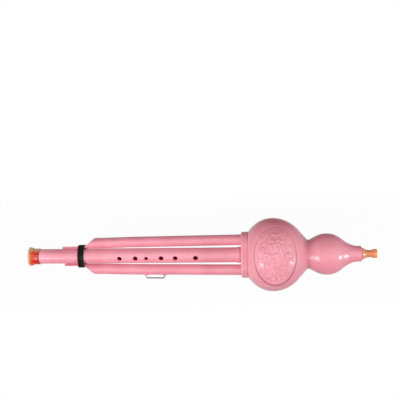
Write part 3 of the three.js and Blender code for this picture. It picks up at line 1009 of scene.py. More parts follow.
@dataclass(frozen=True)
class Leaf:
    """A leaf or petal in low relief: a rounded blade with a mid rib and faint veins."""

    foot: Point
    turn: float
    length: float
    width: float
    rib: float = 0.35
    fullness: float = 0.8
    rib_width: float = 0.45
    vein: float = 0.1

    def height(self, x: np.ndarray, y: np.ndarray) -> np.ndarray:
        """Work out its height.

        Args:
            x: Along the instrument from the medallion's middle.
            y: Across it.

        Returns:
            0 to 1 at each point.
        """
        a = math.radians(self.turn)
        right, up = x - self.foot[0], y - self.foot[1]
        along = (right * math.cos(a) + up * math.sin(a)) / self.length
        off = up * math.cos(a) - right * math.sin(a)
        share = along.clip(0.001, 0.999)
        half = self.width * np.sin(math.pi * share**self.fullness) ** 0.8
        across = np.abs(off) / half.clip(1e-3)
        dome = np.sqrt((1 - across**2).clip(0, 1)) * (0.55 + 0.45 * share)
        crease = self.rib * np.exp(-((off / self.rib_width) ** 2)) * (1 - share)
        veins = self.vein * np.cos(share * 26 - across * 3) * (1 - across.clip(0, 1))
        return np.where((along > 0) & (along < 1) & (across < 1), dome - crease + veins, 0)


@dataclass(frozen=True)
class Bloom:
    """A round flower in low relief: petals round a domed eye."""

    centre: Point
    petals: int
    size: float
    turn: float = 0.0
    petal_width: float = 0.36
    eye_size: float = 0.26
    eye_height: float = 1.1

    def height(self, x: np.ndarray, y: np.ndarray) -> np.ndarray:
        """Work out its height.

        Args:
            x: Along the instrument from the medallion's middle.
            y: Across it.

        Returns:
            0 to 1 at each point, or a little more on the eye.
        """
        found = np.zeros_like(x)
        for i in range(self.petals):
            turn = self.turn + 360 * i / self.petals
            petal = Leaf(self.centre, turn, self.size, self.size * self.petal_width, 0.3, 1.4)
            found = np.maximum(found, petal.height(x, y))
        away = np.hypot(x - self.centre[0], y - self.centre[1]) / (self.size * self.eye_size)
        eye = np.sqrt((1 - away**2).clip(0, 1)) * self.eye_height
        ring = 0.5 * np.exp(-(((away - 1.15) / 0.22) ** 2))
        return np.where(away < 1.45, np.maximum(eye, found - ring), found)


@dataclass(frozen=True)
class Stem:
    """A stem or tendril in low relief, along a curve."""

    controls: tuple[Point, ...]
    radius: float = 0.7
    top: float = 0.75

    def height(self, x: np.ndarray, y: np.ndarray) -> np.ndarray:
        """Work out its height.

        Args:
            x: Along the instrument from the medallion's middle.
            y: Across it.

        Returns:
            0 to 1 at each point.
        """
        nearest = np.full(x.shape, np.inf)
        points = np.array(bezier(self.controls, 40))
        for a, b in zip(points, points[1:]):
            step = b - a
            share = (((x - a[0]) * step[0] + (y - a[1]) * step[1]) / (step @ step)).clip(0, 1)
            nearest = np.minimum(nearest, np.hypot(x - a[0] - share * step[0], y - a[1] - share * step[1]))
        return self.top * np.sqrt((1 - (nearest / self.radius) ** 2).clip(0, 1))


RELIEF = (
    Bloom((-1.0, -4.5), 6, 9.2, 12),
    Bloom((4.5, 14.5), 5, 6.6, 40),
    Bloom((-8.5, -20.0), 5, 5.0, 5),
    Bloom((11.0, -22.5), 5, 3.6, 30),
    Bloom((-13.8, 11.5), 5, 3.5, 10),
    Stem(((13.0, -25.0), (16.0, -8.0), (8.0, 2.0), (4.5, 14.5))),
    Stem(((-8.5, -20.0), (-16.0, -4.0), (-15.0, 10.0), (-5.0, 24.0))),
    Stem(((-13.5, 4.0), (-8.0, 10.0), (-10.0, 17.0), (-13.5, 14.0)), 0.55),
    Stem(((12.5, -8.0), (19.0, -2.0), (18.5, 6.0), (14.5, 4.5)), 0.55),
    Stem(((0.0, 20.0), (2.0, 27.0), (9.0, 27.5), (8.0, 23.0)), 0.55),
    Stem(((-18.5, -12.0), (-21.5, 2.0), (-18.0, 16.0), (-8.0, 28.0)), 0.6),
    Stem(((20.0, -6.0), (21.5, 4.0), (17.0, 17.0), (9.0, 28.0)), 0.6),
    Stem(((-14.0, -25.0), (-5.0, -32.5), (6.0, -32.5), (14.5, -25.0)), 0.6),
    Leaf((12.8, -12.0), 200, 8.0, 2.4),
    Leaf((12.8, -13.0), -62, 9.0, 2.5),
    Leaf((10.5, -1.0), 35, 8.5, 2.3),
    Leaf((-13.5, -6.0), 140, 6.5, 2.2),
    Leaf((-13.5, 1.0), 20, 8.0, 2.3),
    Leaf((-12.5, 12.0), 60, 8.0, 2.4),
    Leaf((-8.0, 19.0), -10, 8.5, 2.3),
    Leaf((-9.0, -24.0), 20, 8.0, 2.2),
    Leaf((2.0, -18.0), -20, 8.0, 2.4),
    Leaf((3.0, 24.0), 165, 7.0, 2.0),
    Leaf((-18.8, -9.0), -82, 9.0, 2.1),
    Leaf((-19.6, 2.0), 62, 6.5, 1.9),
    Leaf((-16.5, 15.5), 82, 7.5, 1.9),
    Leaf((20.0, 0.5), -98, 6.5, 1.9),
    Leaf((18.6, 7.0), 128, 7.0, 1.9),
    Leaf((14.6, 17.0), 92, 7.0, 1.9),
    Leaf((-3.5, -30.3), 62, 6.5, 1.9),
    Leaf((5.0, -30.3), 118, 6.5, 1.9),
    Leaf((-4.5, 8.5), 100, 8.0, 2.1),
    Leaf((-2.5, -14.5), -75, 7.5, 2.1),
)


# Sub-assemblies


@dataclass
class Gourd:
    """The wind chest: two shells with two bulbs, a neck and a medallion in low relief."""

    base: float = GOURD_BASE
    wall: float = 2.4
    base_wall: float = 2.5
    big_radius: float = 43.6
    big_station: float = 28.7
    big_tail: float = 37.0
    big_mouth: float = 41.3
    big_shoulder: float = 47.8
    spacing: float = 63.7
    small_radius: float = 24.5
    small_tail: float = 26.8
    small_mouth: float = 25.7
    small_tail_angle: float = 31.5
    small_shoulder: float = 41.4
    crease: float = 3.0
    neck_radius: float = 9.3
    neck_length: float = 4.0
    neck_flare: float = 19.7
    neck_edge: float = 1.0
    flare_pulls: Point = (0.75, 0.6)
    seam_gap: float = 0.3
    seam_edge: float = 0.3
    mouth_width: float = 24.6
    mouth_height: float = 16.2
    oval_length: float = 24.3
    oval_width: float = 34.3
    oval_shift: float = 3.6
    line_width: float = 1.5
    line_depth: float = 0.6
    relief: float = 1.0
    cushion: float = 0.18
    front_height: float = 8.0
    probe: float = 0.2
    seam_near: float = 0.01
    seam_skin: float = 0.2
    front_skin: float = 0.5
    floor_gap: float = 0.3
    finer_reach: float = 1.06
    line_reach: float = 0.055
    relief_reach: float = 1.08
    calm: Point = (0.95, 0.06)
    groove_power: float = 1.3
    # Stations over which the small bulb is painted a darker tone, as painted shade
    deeper: Point = (330.0, 350.0)

    @property
    def middle(self) -> float:
        """The station of the medallion's middle."""
        return self.base + self.big_station + self.oval_shift

    def shades(self, coat: Coat) -> tuple[Shade, ...]:
        """Paint shade: a darker tone over the small bulb, and a darker line in the medallion's oval groove on
        the front.

        Args:
            coat: The gourd's sheet.

        Returns:
            Both shades.
        """
        # Painted shade: the small bulb takes a darker tone over these stations
        small = coat.part("X").step(*self.deeper) * 0.3
        across, along, up = coat.part("Y"), coat.part("X") - self.middle, coat.part("Z")
        reach = ((along / self.oval_length) ** 2.0 + (across / self.oval_width) ** 2.0) ** 0.5
        off = abs(reach - 1.0) * self.oval_length
        # Painted shade in the oval groove: a darker line, heavier towards the lower side (-Y) and fading
        # towards the top
        low = 1 - across.step(-12, 26) * 0.8
        groove = (1 - off.step(0.3, 1.2)) * up.step(8, 12) * low * 0.75
        return (small, colour("e07f90")), (groove, colour("b05768"))

    def outline(self, fine: int = 1) -> list[Point]:
        """Return the outside from the base to the neck's end.

        Args:
            fine: How many times finer than the drawn mesh it is.

        Returns:
            Radius and station of each point.
        """
        big, small = (0, self.big_station), (0, self.big_station + self.spacing)
        first = -math.degrees(math.asin(self.big_station / self.big_tail))
        tail = arc(big, (self.big_radius, self.big_tail), first, 0, 32 * fine)
        mouth = arc(big, (self.big_radius, self.big_mouth), 0, self.big_shoulder, 36 * fine)
        rise = arc(small, (self.small_radius, self.small_tail), -self.small_tail_angle, 0, 16 * fine)
        fall = arc(small, (self.small_radius, self.small_mouth), 0, self.small_shoulder, 18 * fine)
        slope = self._slope(self.big_radius, self.big_mouth, self.big_shoulder)
        back = self._slope(self.small_radius, self.small_tail, -self.small_tail_angle)
        corner = self._crossing(mouth[-1], slope, rise[0], back)
        before, after = tuple(corner - slope * self.crease), tuple(corner + back * self.crease)
        straight = line(mouth[-1], before, 4)[1:-1]
        blend = bezier([before, tuple(corner), after], 8 * fine)
        end = (self.neck_radius, fall[-1][1] + self.neck_flare)
        leaving = self._slope(self.small_radius, self.small_mouth, self.small_shoulder)
        bend = self._crossing(fall[-1], leaving, end, np.array([0.0, 1.0]))
        tips = zip((fall[-1], end), self.flare_pulls)
        leave, arrive = (np.array(point) + (bend - point) * pull for point, pull in tips)
        flare = bezier([fall[-1], leave, arrive, end], 20 * fine)
        neck = line(end, (self.neck_radius, end[1] + self.neck_length), 3)
        return tail + mouth[1:] + straight + blend + rise + fall[1:] + flare[1:] + neck[1:]

    @staticmethod
    def _slope(radius: float, reach: float, angle: float) -> np.ndarray:
        """Return an ellipse's direction.

        Args:
            radius: Its half size across the axis.
            reach: Its half size along the axis.
            angle: Where on the ellipse, in degrees from straight outwards.

        Returns:
            Radius and station of a step of length 1.
        """
        a = math.radians(angle)
        found = np.array([-radius * math.sin(a), reach * math.cos(a)])
        return found / np.linalg.norm(found)

    @staticmethod
    def _crossing(start: Point, along: np.ndarray, other: Point, against: np.ndarray) -> np.ndarray:
        """Return where two lines meet, each given by a point and a direction."""
        share = np.linalg.solve(np.array([along, -against]).T, np.array(other) - np.array(start))[0]
        return np.array(start) + along * share

    def _inside(self, outline: Sequence[Point]) -> list[Point]:
        """Move the outline in by the wall.

        Args:
            outline: Radius and station of each point outside.

        Returns:
            The same inside, from the base's inner face on.
        """
        points = np.array(outline)
        along = np.gradient(points, axis=0)
        along /= np.linalg.norm(along, axis=1)[:, None]
        moved = points + np.stack([-along[:, 1], along[:, 0]], 1) * self.wall
        return [(float(r), float(s)) for r, s in moved if s > self.base_wall + self.floor_gap]

    @cached_property
    def _fine(self) -> np.ndarray:
        """The outline, divided finely enough to measure on."""
        return np.array(self.outline(4))

    def _radius(self, station: float | np.ndarray) -> float | np.ndarray:
        """Return the outside's radius at a station, counted from the base."""
        return np.interp(station, self._fine[:, 1], self._fine[:, 0])

    def _off(self, p: Vector) -> float:
        """Return how far a point is from the outside face, in millimetres."""
        return abs(math.hypot(p.y, p.z) - self._radius(p.x - self.base))

    def _shell(self, name: str, turn: int) -> Item:
        """Turn half the gourd, close it at the seam and cut the mouth.

        Args:
            name: The new object's name.
            turn: 1 for the front half, -1 for the back one.

        Returns:
            The shell.
        """
        outline = self.outline()
        inside = self._inside(outline[::2])
        length, edge = outline[-1][1], self.neck_edge
        foot = [(0, 0)] + line((4, 0), outline[0], 6)[:-1]
        outside = outline[:-1] + quarter((self.neck_radius - edge, length - edge), edge, 0, 6)
        inner = [(self.neck_radius - self.wall, length)] + inside[::-1][1:]
        inner += [(inside[0][0], self.base_wall), (0, self.base_wall)]
        profile = [(radius, station + self.base) for radius, station in foot + outside + inner]
        shell = bench.turned(name, profile, 128, turn * math.pi)
        seam = turn * self.seam_gap / 2
        bench.edit(shell)
        bpy.ops.mesh.bisect(plane_co=(0, 0, seam), plane_no=(0, 0, turn), use_fill=True, clear_inner=True)
        bench.close(shell)
        bench.edit(shell)

        def on_seam(p: Vector) -> bool:
            """Say whether a corner is on the seam's outer edge."""
            return abs(p.z - seam) < self.seam_near and self._off(p) < self.seam_skin

        bench.select(shell, on_seam, whole=False)
        bpy.ops.mesh.bevel(offset=self.seam_edge, segments=2, affect="EDGES")
        bench.close(shell)
        mouth = oval(self.mouth_width, self.mouth_height)
        layers = hole_layers(self.base, self.base + self.base_wall)
        return bench.join(shell, bench.lofted("mouth_cutter", mouth, layers))

    def _reach(self, x: float | np.ndarray, y: float | np.ndarray) -> float | np.ndarray:
        """Return 1 on the medallion's oval line, and less inside it."""
        return np.hypot((x - self.middle) / self.oval_length, y / self.oval_width)

    def _medallion(self, shell: Item) -> None:
        """Refine the medallion's field and raise its line and its flowers.

        Args:
            shell: The front shell.
        """

        def on_front(p: Vector) -> bool:
            """Say whether a face's middle is on the front's outside."""
            return p.z > self.front_height and self._off(p) < self.front_skin

        bench.edit(shell)
        bench.select(shell, lambda p: self._reach(p.x, p.y) < self.finer_reach and on_front(p))
        bpy.ops.mesh.subdivide(number_cuts=2)
        bench.select(shell, lambda p: abs(self._reach(p.x, p.y) - 1) < self.line_reach and on_front(p))
        bpy.ops.mesh.subdivide(number_cuts=1)
        bpy.ops.object.mode_set(mode="OBJECT")
        corners = np.empty(len(shell.data.vertices) * 3)
        shell.data.vertices.foreach_get("co", corners)
        x, y, z = corners.reshape(-1, 3).T
        around, station = np.hypot(y, z), x - self.base
        true, reach = self._radius(station), self._reach(x, y)
        skin = np.abs(around - true) < self.front_skin
        field = (reach < self.relief_reach) & (z > self.front_height) & skin
        rise = self._radius(station + self.probe) - self._radius(station - self.probe)
        lean = rise / (2 * self.probe)
        height, root = self._height(x - self.middle, y, reach), np.sqrt(1 + lean**2)
        grown, thick = true + height / root, around.clip(1e-6)
        moved = np.stack([x - height * lean / root, y / thick * grown, z / thick * grown], 1)
        raised = np.where(field[:, None], moved, corners.reshape(-1, 3))
        shell.data.vertices.foreach_set("co", raised.ravel())
        shell.data.update()

    def _height(self, x: np.ndarray, y: np.ndarray, reach: np.ndarray) -> np.ndarray:
        """Return the relief above the bulb, in millimetres.

        Args:
            x: Along the instrument from the medallion's middle.
            y: Across it.
            reach: 1 on the oval line.

        Returns:
            The height of each point.
        """
        raised = np.zeros_like(x)
        for mark in RELIEF:
            raised = np.maximum(raised, mark.height(x, y))
        calm = np.clip((self.calm[0] - reach) / self.calm[1], 0, 1)
        cushion = self.cushion * np.clip(1 - reach**6, 0, 1)
        off = np.abs(reach - 1) * self.oval_length / (self.line_width / 2)
        section = np.cos(off.clip(0, 1) * math.pi / 2) ** self.groove_power
        groove = np.where(off < 1, -self.line_depth * section, 0)
        return groove + np.where(reach < 1, cushion + raised * calm * self.relief, 0)

    def build(self, shop: Workshop) -> None:
        """Build and seat both shells.

        Args:
            shop: Dresses and seats the pieces.
        """
        front, back = self._shell("gourd_front", 1), self._shell("gourd_back", -1)
        self._medallion(front)
        shop.seat(front, shop.gourd, "gourd", "gourd_front_shell", angle=40)
        shop.seat(back, shop.gourd, "gourd", "gourd_back_shell", angle=40)


@dataclass
class Mouthpiece:
    """The waisted amber nozzle on its corked tenon."""

    base: float = 402.6
    length: float = 17.7
    flange_radius: float = 7.4
    flange: float = 0.6
    flange_edge: float = 0.15
    waist_radius: float = 4.2
    waist: float = 8.7
    lip_radius: float = 5.3
    lip: float = 15.4
    lip_edge: float = 0.8
    bore: float = 1.9
    bore_edge: float = 0.3
    bore_lip: float = 0.7
    tenon_radius: float = 5.2
    tenon: float = 12.3
    tenon_edge: float = 0.4
    cork: Sleeve = Sleeve(inner=5.5, outer=6.6, start=392.3, length=8.0)

    def _nozzle(self) -> Item:
        """Turn the nozzle.

        Returns:
            The nozzle.
        """
        start, flange, end = self.base - self.tenon, self.base + self.flange, self.base + self.length
        waist, lip = self.base + self.waist, self.base + self.lip
        tenon, edge = self.tenon_radius, self.tenon_edge
        profile = [(self.bore, start + self.bore_edge), (self.bore + self.bore_edge, start)]
        profile += [(tenon - edge, start), (tenon, start + edge), (tenon, self.base)]
        profile += [(self.flange_radius - self.flange_edge, self.base)]
        profile += [(self.flange_radius, self.base + self.flange_edge)]
        bend, middle = (self.waist_radius, (flange + waist) / 2), (waist + lip) / 2
        profile += bezier([(self.flange_radius, flange), bend, (self.waist_radius, waist)], 24)
        controls = [(self.waist_radius, waist), (self.waist_radius, middle)]
        controls += [(self.lip_radius, middle), (self.lip_radius, lip)]
        profile += bezier(controls, 20)[1:]
        profile += quarter((self.lip_radius - self.lip_edge, end - self.lip_edge), self.lip_edge, 0, 6)
        profile += quarter((self.bore + self.bore_lip, end - self.bore_lip), self.bore_lip, 90, 6)
        return bench.turned("mouthpiece_nozzle", [*profile, profile[0]])

    def build(self, shop: Workshop) -> None:
        """Build and seat the nozzle and its cork.

        Args:
            shop: Dresses and seats the pieces.
        """
        shop.seat(self._nozzle(), shop.nozzle, "mouthpiece", "mouthpiece")
        cork = self.cork.turned("mouthpiece_cork_sleeve")
        shop.seat(cork, shop.cork, "mouthpiece", "mouthpiece_cork")


@dataclass(frozen=True)
class Reed:
    """A reed: a holder with a flat and a window, and a brass plate with a cut tongue."""

    spigot_radius: float
    spigot: float
    nose_radius: float
    nose: float
    bore: float
    end_wall: float
    flat_height: float
    flat_start: float
    plate_margin: float
    plate_width: float
    plate_thickness: float
    window_margin: float
    window_width: float
    slit: float
    gap: float = 0.3
    spigot_edge: float = 0.3
    nose_edge: float = 1.0

    @property
    def middle(self) -> float:
        """The station of the plate's middle, from the pipe's end."""
        return (self.flat_start + self.nose) / 2

    @property
    def half_plate(self) -> float:
        """Half the plate's length."""
        return (self.nose - self.flat_start) / 2 - self.plate_margin

    @property
    def half_window(self) -> float:
        """Half the window's length, before its end wall is taken off."""
        return self.half_plate - self.window_margin

    def _holder(self, name: str) -> Item:
        """Turn the holder and cut its bore, its flat and its window.

        Args:
            name: The new object's name.

        Returns:
            The holder.
        """
        shoulder = self.gap if self.nose_radius > self.spigot_radius else 0.0
        end, edge, reach = self.nose, self.nose_edge, self.nose_radius + 1
        profile = [(0, -self.spigot), (self.spigot_radius - self.spigot_edge, -self.spigot)]
        profile += [(self.spigot_radius, self.spigot_edge - self.spigot), (self.spigot_radius, shoulder)]
        profile += [(self.nose_radius, shoulder), (self.nose_radius, end - edge)]
        profile += quarter((self.nose_radius - edge, end - edge), edge, 0, 5)[1:] + [(0, end)]
        holder = bench.turned(name, profile, 64)
        bench.join(holder, bench.rod("reed_bore", self.bore, -self.spigot - 1, end - self.end_wall, 48))
        low, high = (self.flat_start, -reach, self.flat_height), (end + 1, reach, reach)
        bench.join(holder, bench.block("reed_flat", low, high))
        low = (self.middle - self.half_window, -self.window_width / 2, 0)
        high = (self.middle + self.half_window - self.end_wall, self.window_width / 2, reach)
        return bench.join(holder, bench.block("reed_window", low, high, 0.2))

    def _plate(self, name: str) -> Item:
        """Make the plate and cut the slit round its tongue.

        Args:
            name: The new object's name.

        Returns:
            The plate.
        """
        bottom, slit = self.flat_height + self.gap, self.slit
        low = (self.middle - self.half_plate, -self.plate_width / 2, bottom)
        high = (self.middle + self.half_plate, self.plate_width / 2, bottom + self.plate_thickness)
        plate = bench.block(name, low, high, 0.1)
        tip = self.middle - self.half_window + self.end_wall / 2
        foot = self.middle + self.half_window - self.end_wall
        wide = self.window_width / 2 - slit
        steep = slit * (foot - tip) / wide
        cut = [(foot, -wide), (tip, 0), (foot, wide), (foot, wide - slit)]
        cut += [(tip + steep, 0), (foot, slit - wide)]
        return bench.join(plate, bench.slab("reed_slit", cut, bottom - 1, bottom + 2))

    def build(self, shop: Workshop, name: str, body: str, own: Matrix) -> None:
        """Build and seat the holder and the plate.

        Args:
            shop: Dresses and seats the pieces.
            name: The reed's name, which its two nodes start with.
            body: The body that it rides on.
            own: The matrix from the reed's own frame to the instrument's.
        """
        shop.seat(self._holder(f"{name}_holder_body"), shop.white, body, f"{name}_holder", own)
        shop.seat(self._plate(f"{name}_plate_strip"), shop.brass, body, f"{name}_plate", own)


MAIN_REED = Reed(
    spigot_radius=6.2, spigot=10, nose_radius=7.2, nose=24, bore=3.6, end_wall=3,
    flat_height=4.7, flat_start=3, plate_margin=1, plate_width=8.4, plate_thickness=0.5,
    window_margin=2.5, window_width=3.4, slit=0.4,
)
DRONE_REED = Reed(
    spigot_radius=4.6, spigot=7, nose_radius=3.8, nose=25, bore=1.5, end_wall=2,
    flat_height=2.3, flat_start=11.5, plate_margin=0.45, plate_width=5, plate_thickness=0.5,
    window_margin=1.8, window_width=2, slit=0.3,
)


@dataclass
class Stock:
    """The collar with its plug and gasket."""

    start: float = COLLAR_FACE
    thickness: float = 8.0
    half_width: float = 27.5
    half_height: float = 19.0
    rounding: float = 1.4
    groove: float = 0.8
    groove_depth: float = 0.22
    plug_width: float = 23.0
    plug_height: float = 14.6
    plug_start: float = 267.2
    plug_end: float = 276.9
    plug_edge: float = 0.4
    bore: float = 9.3
    seat: float = 9.9
    seat_depth: float = 0.6
    seal_groove: float = 10.5
    seal_start: float = 268.9
    seal_end: float = 272.1
    socket: float = 6.7
    socket_depth: float = 6.3
    reed_way: float = 4.1
    reed_way_end: float = 18.0
    lead: float = 0.3
    gasket: float = 1.0
    gasket_start: float = GOURD_BASE
    gasket_length: float = 2.5
    gasket_edge: float = 0.4
    gap: float = 0.3

    def _collar(self) -> Item:
        """Loft the collar, its groove dipped and its mouth side sharper, and add the plug.

        Returns:
            The collar with its plug.
        """
        middle, half = self.start + self.thickness / 2, self.groove / 2
        shares = ((-1, 0), (-0.4, -self.groove_depth), (0.4, -self.groove_depth), (1, 0))
        dip = [(middle + half * share, depth) for share, depth in shares]
        roundings = (self.rounding, self.rounding / 2)
        layers = rounded_layers(self.start, self.start + self.thickness, roundings, between=dip)
        collar = bench.lofted("collar", oval(self.half_width, self.half_height), layers)
        layers = rounded_layers(self.plug_start, self.plug_end, (self.plug_edge,) * 2, 3)
        plug = bench.lofted("plug", oval(self.plug_width, self.plug_height), layers)
        return bench.join(collar, plug, Join.ADD)

    def _lead_in(self, radius: float, face: float) -> list[Point]:
        """Return a cutter's outline where it enters a face, with a chamfer."""
        flare = [(0, face - 1), (radius + self.lead + 1, face - 1)]
        return flare + [(radius + self.lead, face), (radius, face + self.lead)]

    def _bore(self) -> Item:
        """Turn the cutter of the main pipe's bore, with the seal's groove.

        Returns:
            The cutter.
        """
        seat_end, end = self.start + self.seat_depth, self.plug_end + 1
        profile = self._lead_in(self.seat, self.start)
        profile += [(self.seat, seat_end), (self.bore, seat_end), (self.bore, self.seal_start)]
        profile += [(self.seal_groove, self.seal_start), (self.seal_groove, self.seal_end)]
        profile += [(self.bore, self.seal_end), (self.bore, end), (0, end)]
        return bench.turned("pipe_bore", profile)

    def _socket(self, name: str, drone: Matrix) -> Item:
        """Turn the cutter of a drone's socket, with the way for its reed.

        Args:
            name: The new object's name.
            drone: The drone's matrix.

        Returns:
            The cutter.
        """
        profile = self._lead_in(self.socket, 0)
        profile += [(self.socket, self.socket_depth), (self.reed_way, self.socket_depth)]
        way = bench.turned(name, [*profile, (self.reed_way, self.reed_way_end), (0, self.reed_way_end)])
        way.data.transform(drone)
        return way

    def _gasket(self) -> Item:
        """Loft the gasket round the plug.

        Returns:
            The gasket.
        """
        start, end = self.gasket_start, self.gasket_start + self.gasket_length
        inner = oval(self.plug_width + self.gap, self.plug_height + self.gap)
        outer = oval(self.plug_width + self.gap + self.gasket, self.plug_height + self.gap + self.gasket)
        ring = bench.lofted("gasket_ring", outer, rounded_layers(start, end, (self.gasket_edge,) * 2, 3))
        return bench.join(ring, bench.lofted("gasket_hole", inner, hole_layers(start, end)))

    def build(self, shop: Workshop, drones: Sequence[Matrix]) -> None:
        """Build and seat the collar and its gasket.

        Args:
            shop: Dresses and seats the pieces.
            drones: The matrix of each drone, whose socket is cut.
        """
        collar = bench.join(self._collar(), self._bore())
        for number, drone in enumerate(drones):
            bench.join(collar, self._socket(f"drone_socket_{number}", drone))
        shop.seat(collar, shop.pink, "stock", "stock_collar")
        shop.seat(self._gasket(), shop.rubber, "stock", "stock_gasket")


@dataclass
class MainPipe:
    """The finger-holed pipe with its stop bead, its seal, its reed and its tail cork."""

    roll: float = 22.0
    radius: float = PIPE_RADIUS
    bore: float = 6.5
    start: float = 4.9
    shoulder: float = 13.3
    edge: float = 0.25
    tenon: float = 7.4
    tenon_edge: float = 0.3
    plain: Point = (20.0, 250.0)
    bead_radius: float = 9.6
    bead_start: float = 255.6
    bead_end: float = 261.2
    bead_edge: float = 0.5
    end: float = 280.9
    collar: float = COLLAR_FACE
    exposed: float = 247.9
    finger_shares: tuple[float, ...] = (0.5946, 0.5163, 0.4627, 0.3893, 0.3199, 0.2207)
    finger_diameters: tuple[float, ...] = (5.2, 5.5, 4.3, 5.5, 5.4, 5.6)
    thumb_share: float = 0.1513
    thumb_diameter: float = 5.4
    vent_shares: tuple[float, ...] = (0.9076, 0.9439)
    vent_diameter: float = 4.0
    lip: float = 0.45
    lip_depth: float = 0.75
    cork: Sleeve = Sleeve(inner=7.7, outer=8.2, start=5.8, length=6.0, edge=0.15)
    seal: Sleeve = Sleeve(inner=9.3, outer=10.2, start=269.2, length=2.6, edge=0.4)
    reed: Reed = MAIN_REED

    def shades(self, coat: Coat) -> tuple[Shade, ...]:
        """Paint shade: a deeper red in the bore and the holes, and a painted shadow line where the pipe meets
        the collar.

        Args:
            coat: The pipe's sheet.

        Returns:
            Both shades.
        """
        away = (coat.part("Y") ** 2.0 + coat.part("Z") ** 2.0) ** 0.5
        # Painted shadow: a dark line round the pipe where it meets the collar face
        joint_shadow = (1 - abs(coat.part("X") - (self.collar - 1)).step(0.5, 1.6)) * 0.5
        # Painted shade: the bore and the walls of the holes take a deeper red
        inside = 1 - away.step(self.radius - 1, self.radius - 0.4)
        return (inside, colour("ef4f6e")), (joint_shadow, colour("b05768"))

    def _hole(self, name: str, diameter: float, share: float, front: bool) -> Item:
        """Turn a cutter with a flared lip and stand it over its place on the pipe.

        Args:
            name: The new object's name.
            diameter: The hole's diameter.
            share: How far from the collar it is, as a share of the exposed length.
            front: True for the front, False for the back.

        Returns:
            The cutter.
        """
        radius, top = diameter / 2, self.radius + 2
        profile = [(0, 2), (radius, 2), (radius, self.radius - self.lip_depth)]
        profile += [(radius + self.lip, self.radius), (radius + 2, top), (0, top)]
        cutter = bench.turned(name, profile, 48)
        turn = Matrix.Rotation(math.radians(-90 if front else 90), 4, "Y")
        cutter.data.transform(Matrix.Translation((self.collar - share * self.exposed, 0, 0)) @ turn)
        return cutter

    def _pipe(self) -> Item:
        """Turn the pipe and cut its holes.

        Returns:
            The pipe.
        """
        edge, bead = self.edge, self.bead_edge
        profile = [(self.bore, self.start), (self.tenon - self.tenon_edge, self.start)]
        profile += [(self.tenon, self.start + self.tenon_edge), (self.tenon, self.shoulder)]
        profile += [(self.radius - edge, self.shoulder), (self.radius, self.shoulder + edge)]
        profile += line((self.radius, self.plain[0]), (self.radius, self.plain[1]), 92)
        profile += [(self.radius, self.bead_start)]
        profile += quarter((self.bead_radius - bead, self.bead_start + bead), bead, -90, 5)
        profile += quarter((self.bead_radius - bead, self.bead_end - bead), bead, 0, 5)
        profile += [(self.radius, self.bead_end), (self.radius, self.end), (self.bore, self.end)]
        pipe = bench.turned("finger_hole_pipe", [*profile, profile[0]])
        fingers = zip(self.finger_diameters, self.finger_shares)
        holes = [(f"finger_hole_{i}", *hole, True) for i, hole in enumerate(fingers)]
        holes += [("thumb_hole", self.thumb_diameter, self.thumb_share, False)]
        holes += [(f"vent_{i}", self.vent_diameter, share, False) for i, share in enumerate(self.vent_shares)]
        for hole in holes:
            bench.join(pipe, self._hole(*hole))
        return pipe

    def build(self, shop: Workshop) -> None:
        """Build and seat the pipe, its seal and cork, and the reed in its end.

        Args:
            shop: Dresses and seats the pieces.
        """
        own = Matrix.Rotation(math.radians(self.roll), 4, "X")
        shop.seat(self._pipe(), shop.tube, "main_pipe", "main_pipe", own)
        shop.seat(self.cork.turned("tail_cork_sleeve"), shop.cork, "main_pipe", "tail_cork", own)
        self.reed.build(shop, "main_reed", "main_pipe", own @ Matrix.Translation((self.end, 0, 0)))
        seal = self.seal.turned("main_pipe_seal_ring")
        shop.seat(seal, shop.rubber, "pipe_seal", "main_pipe_seal", own)


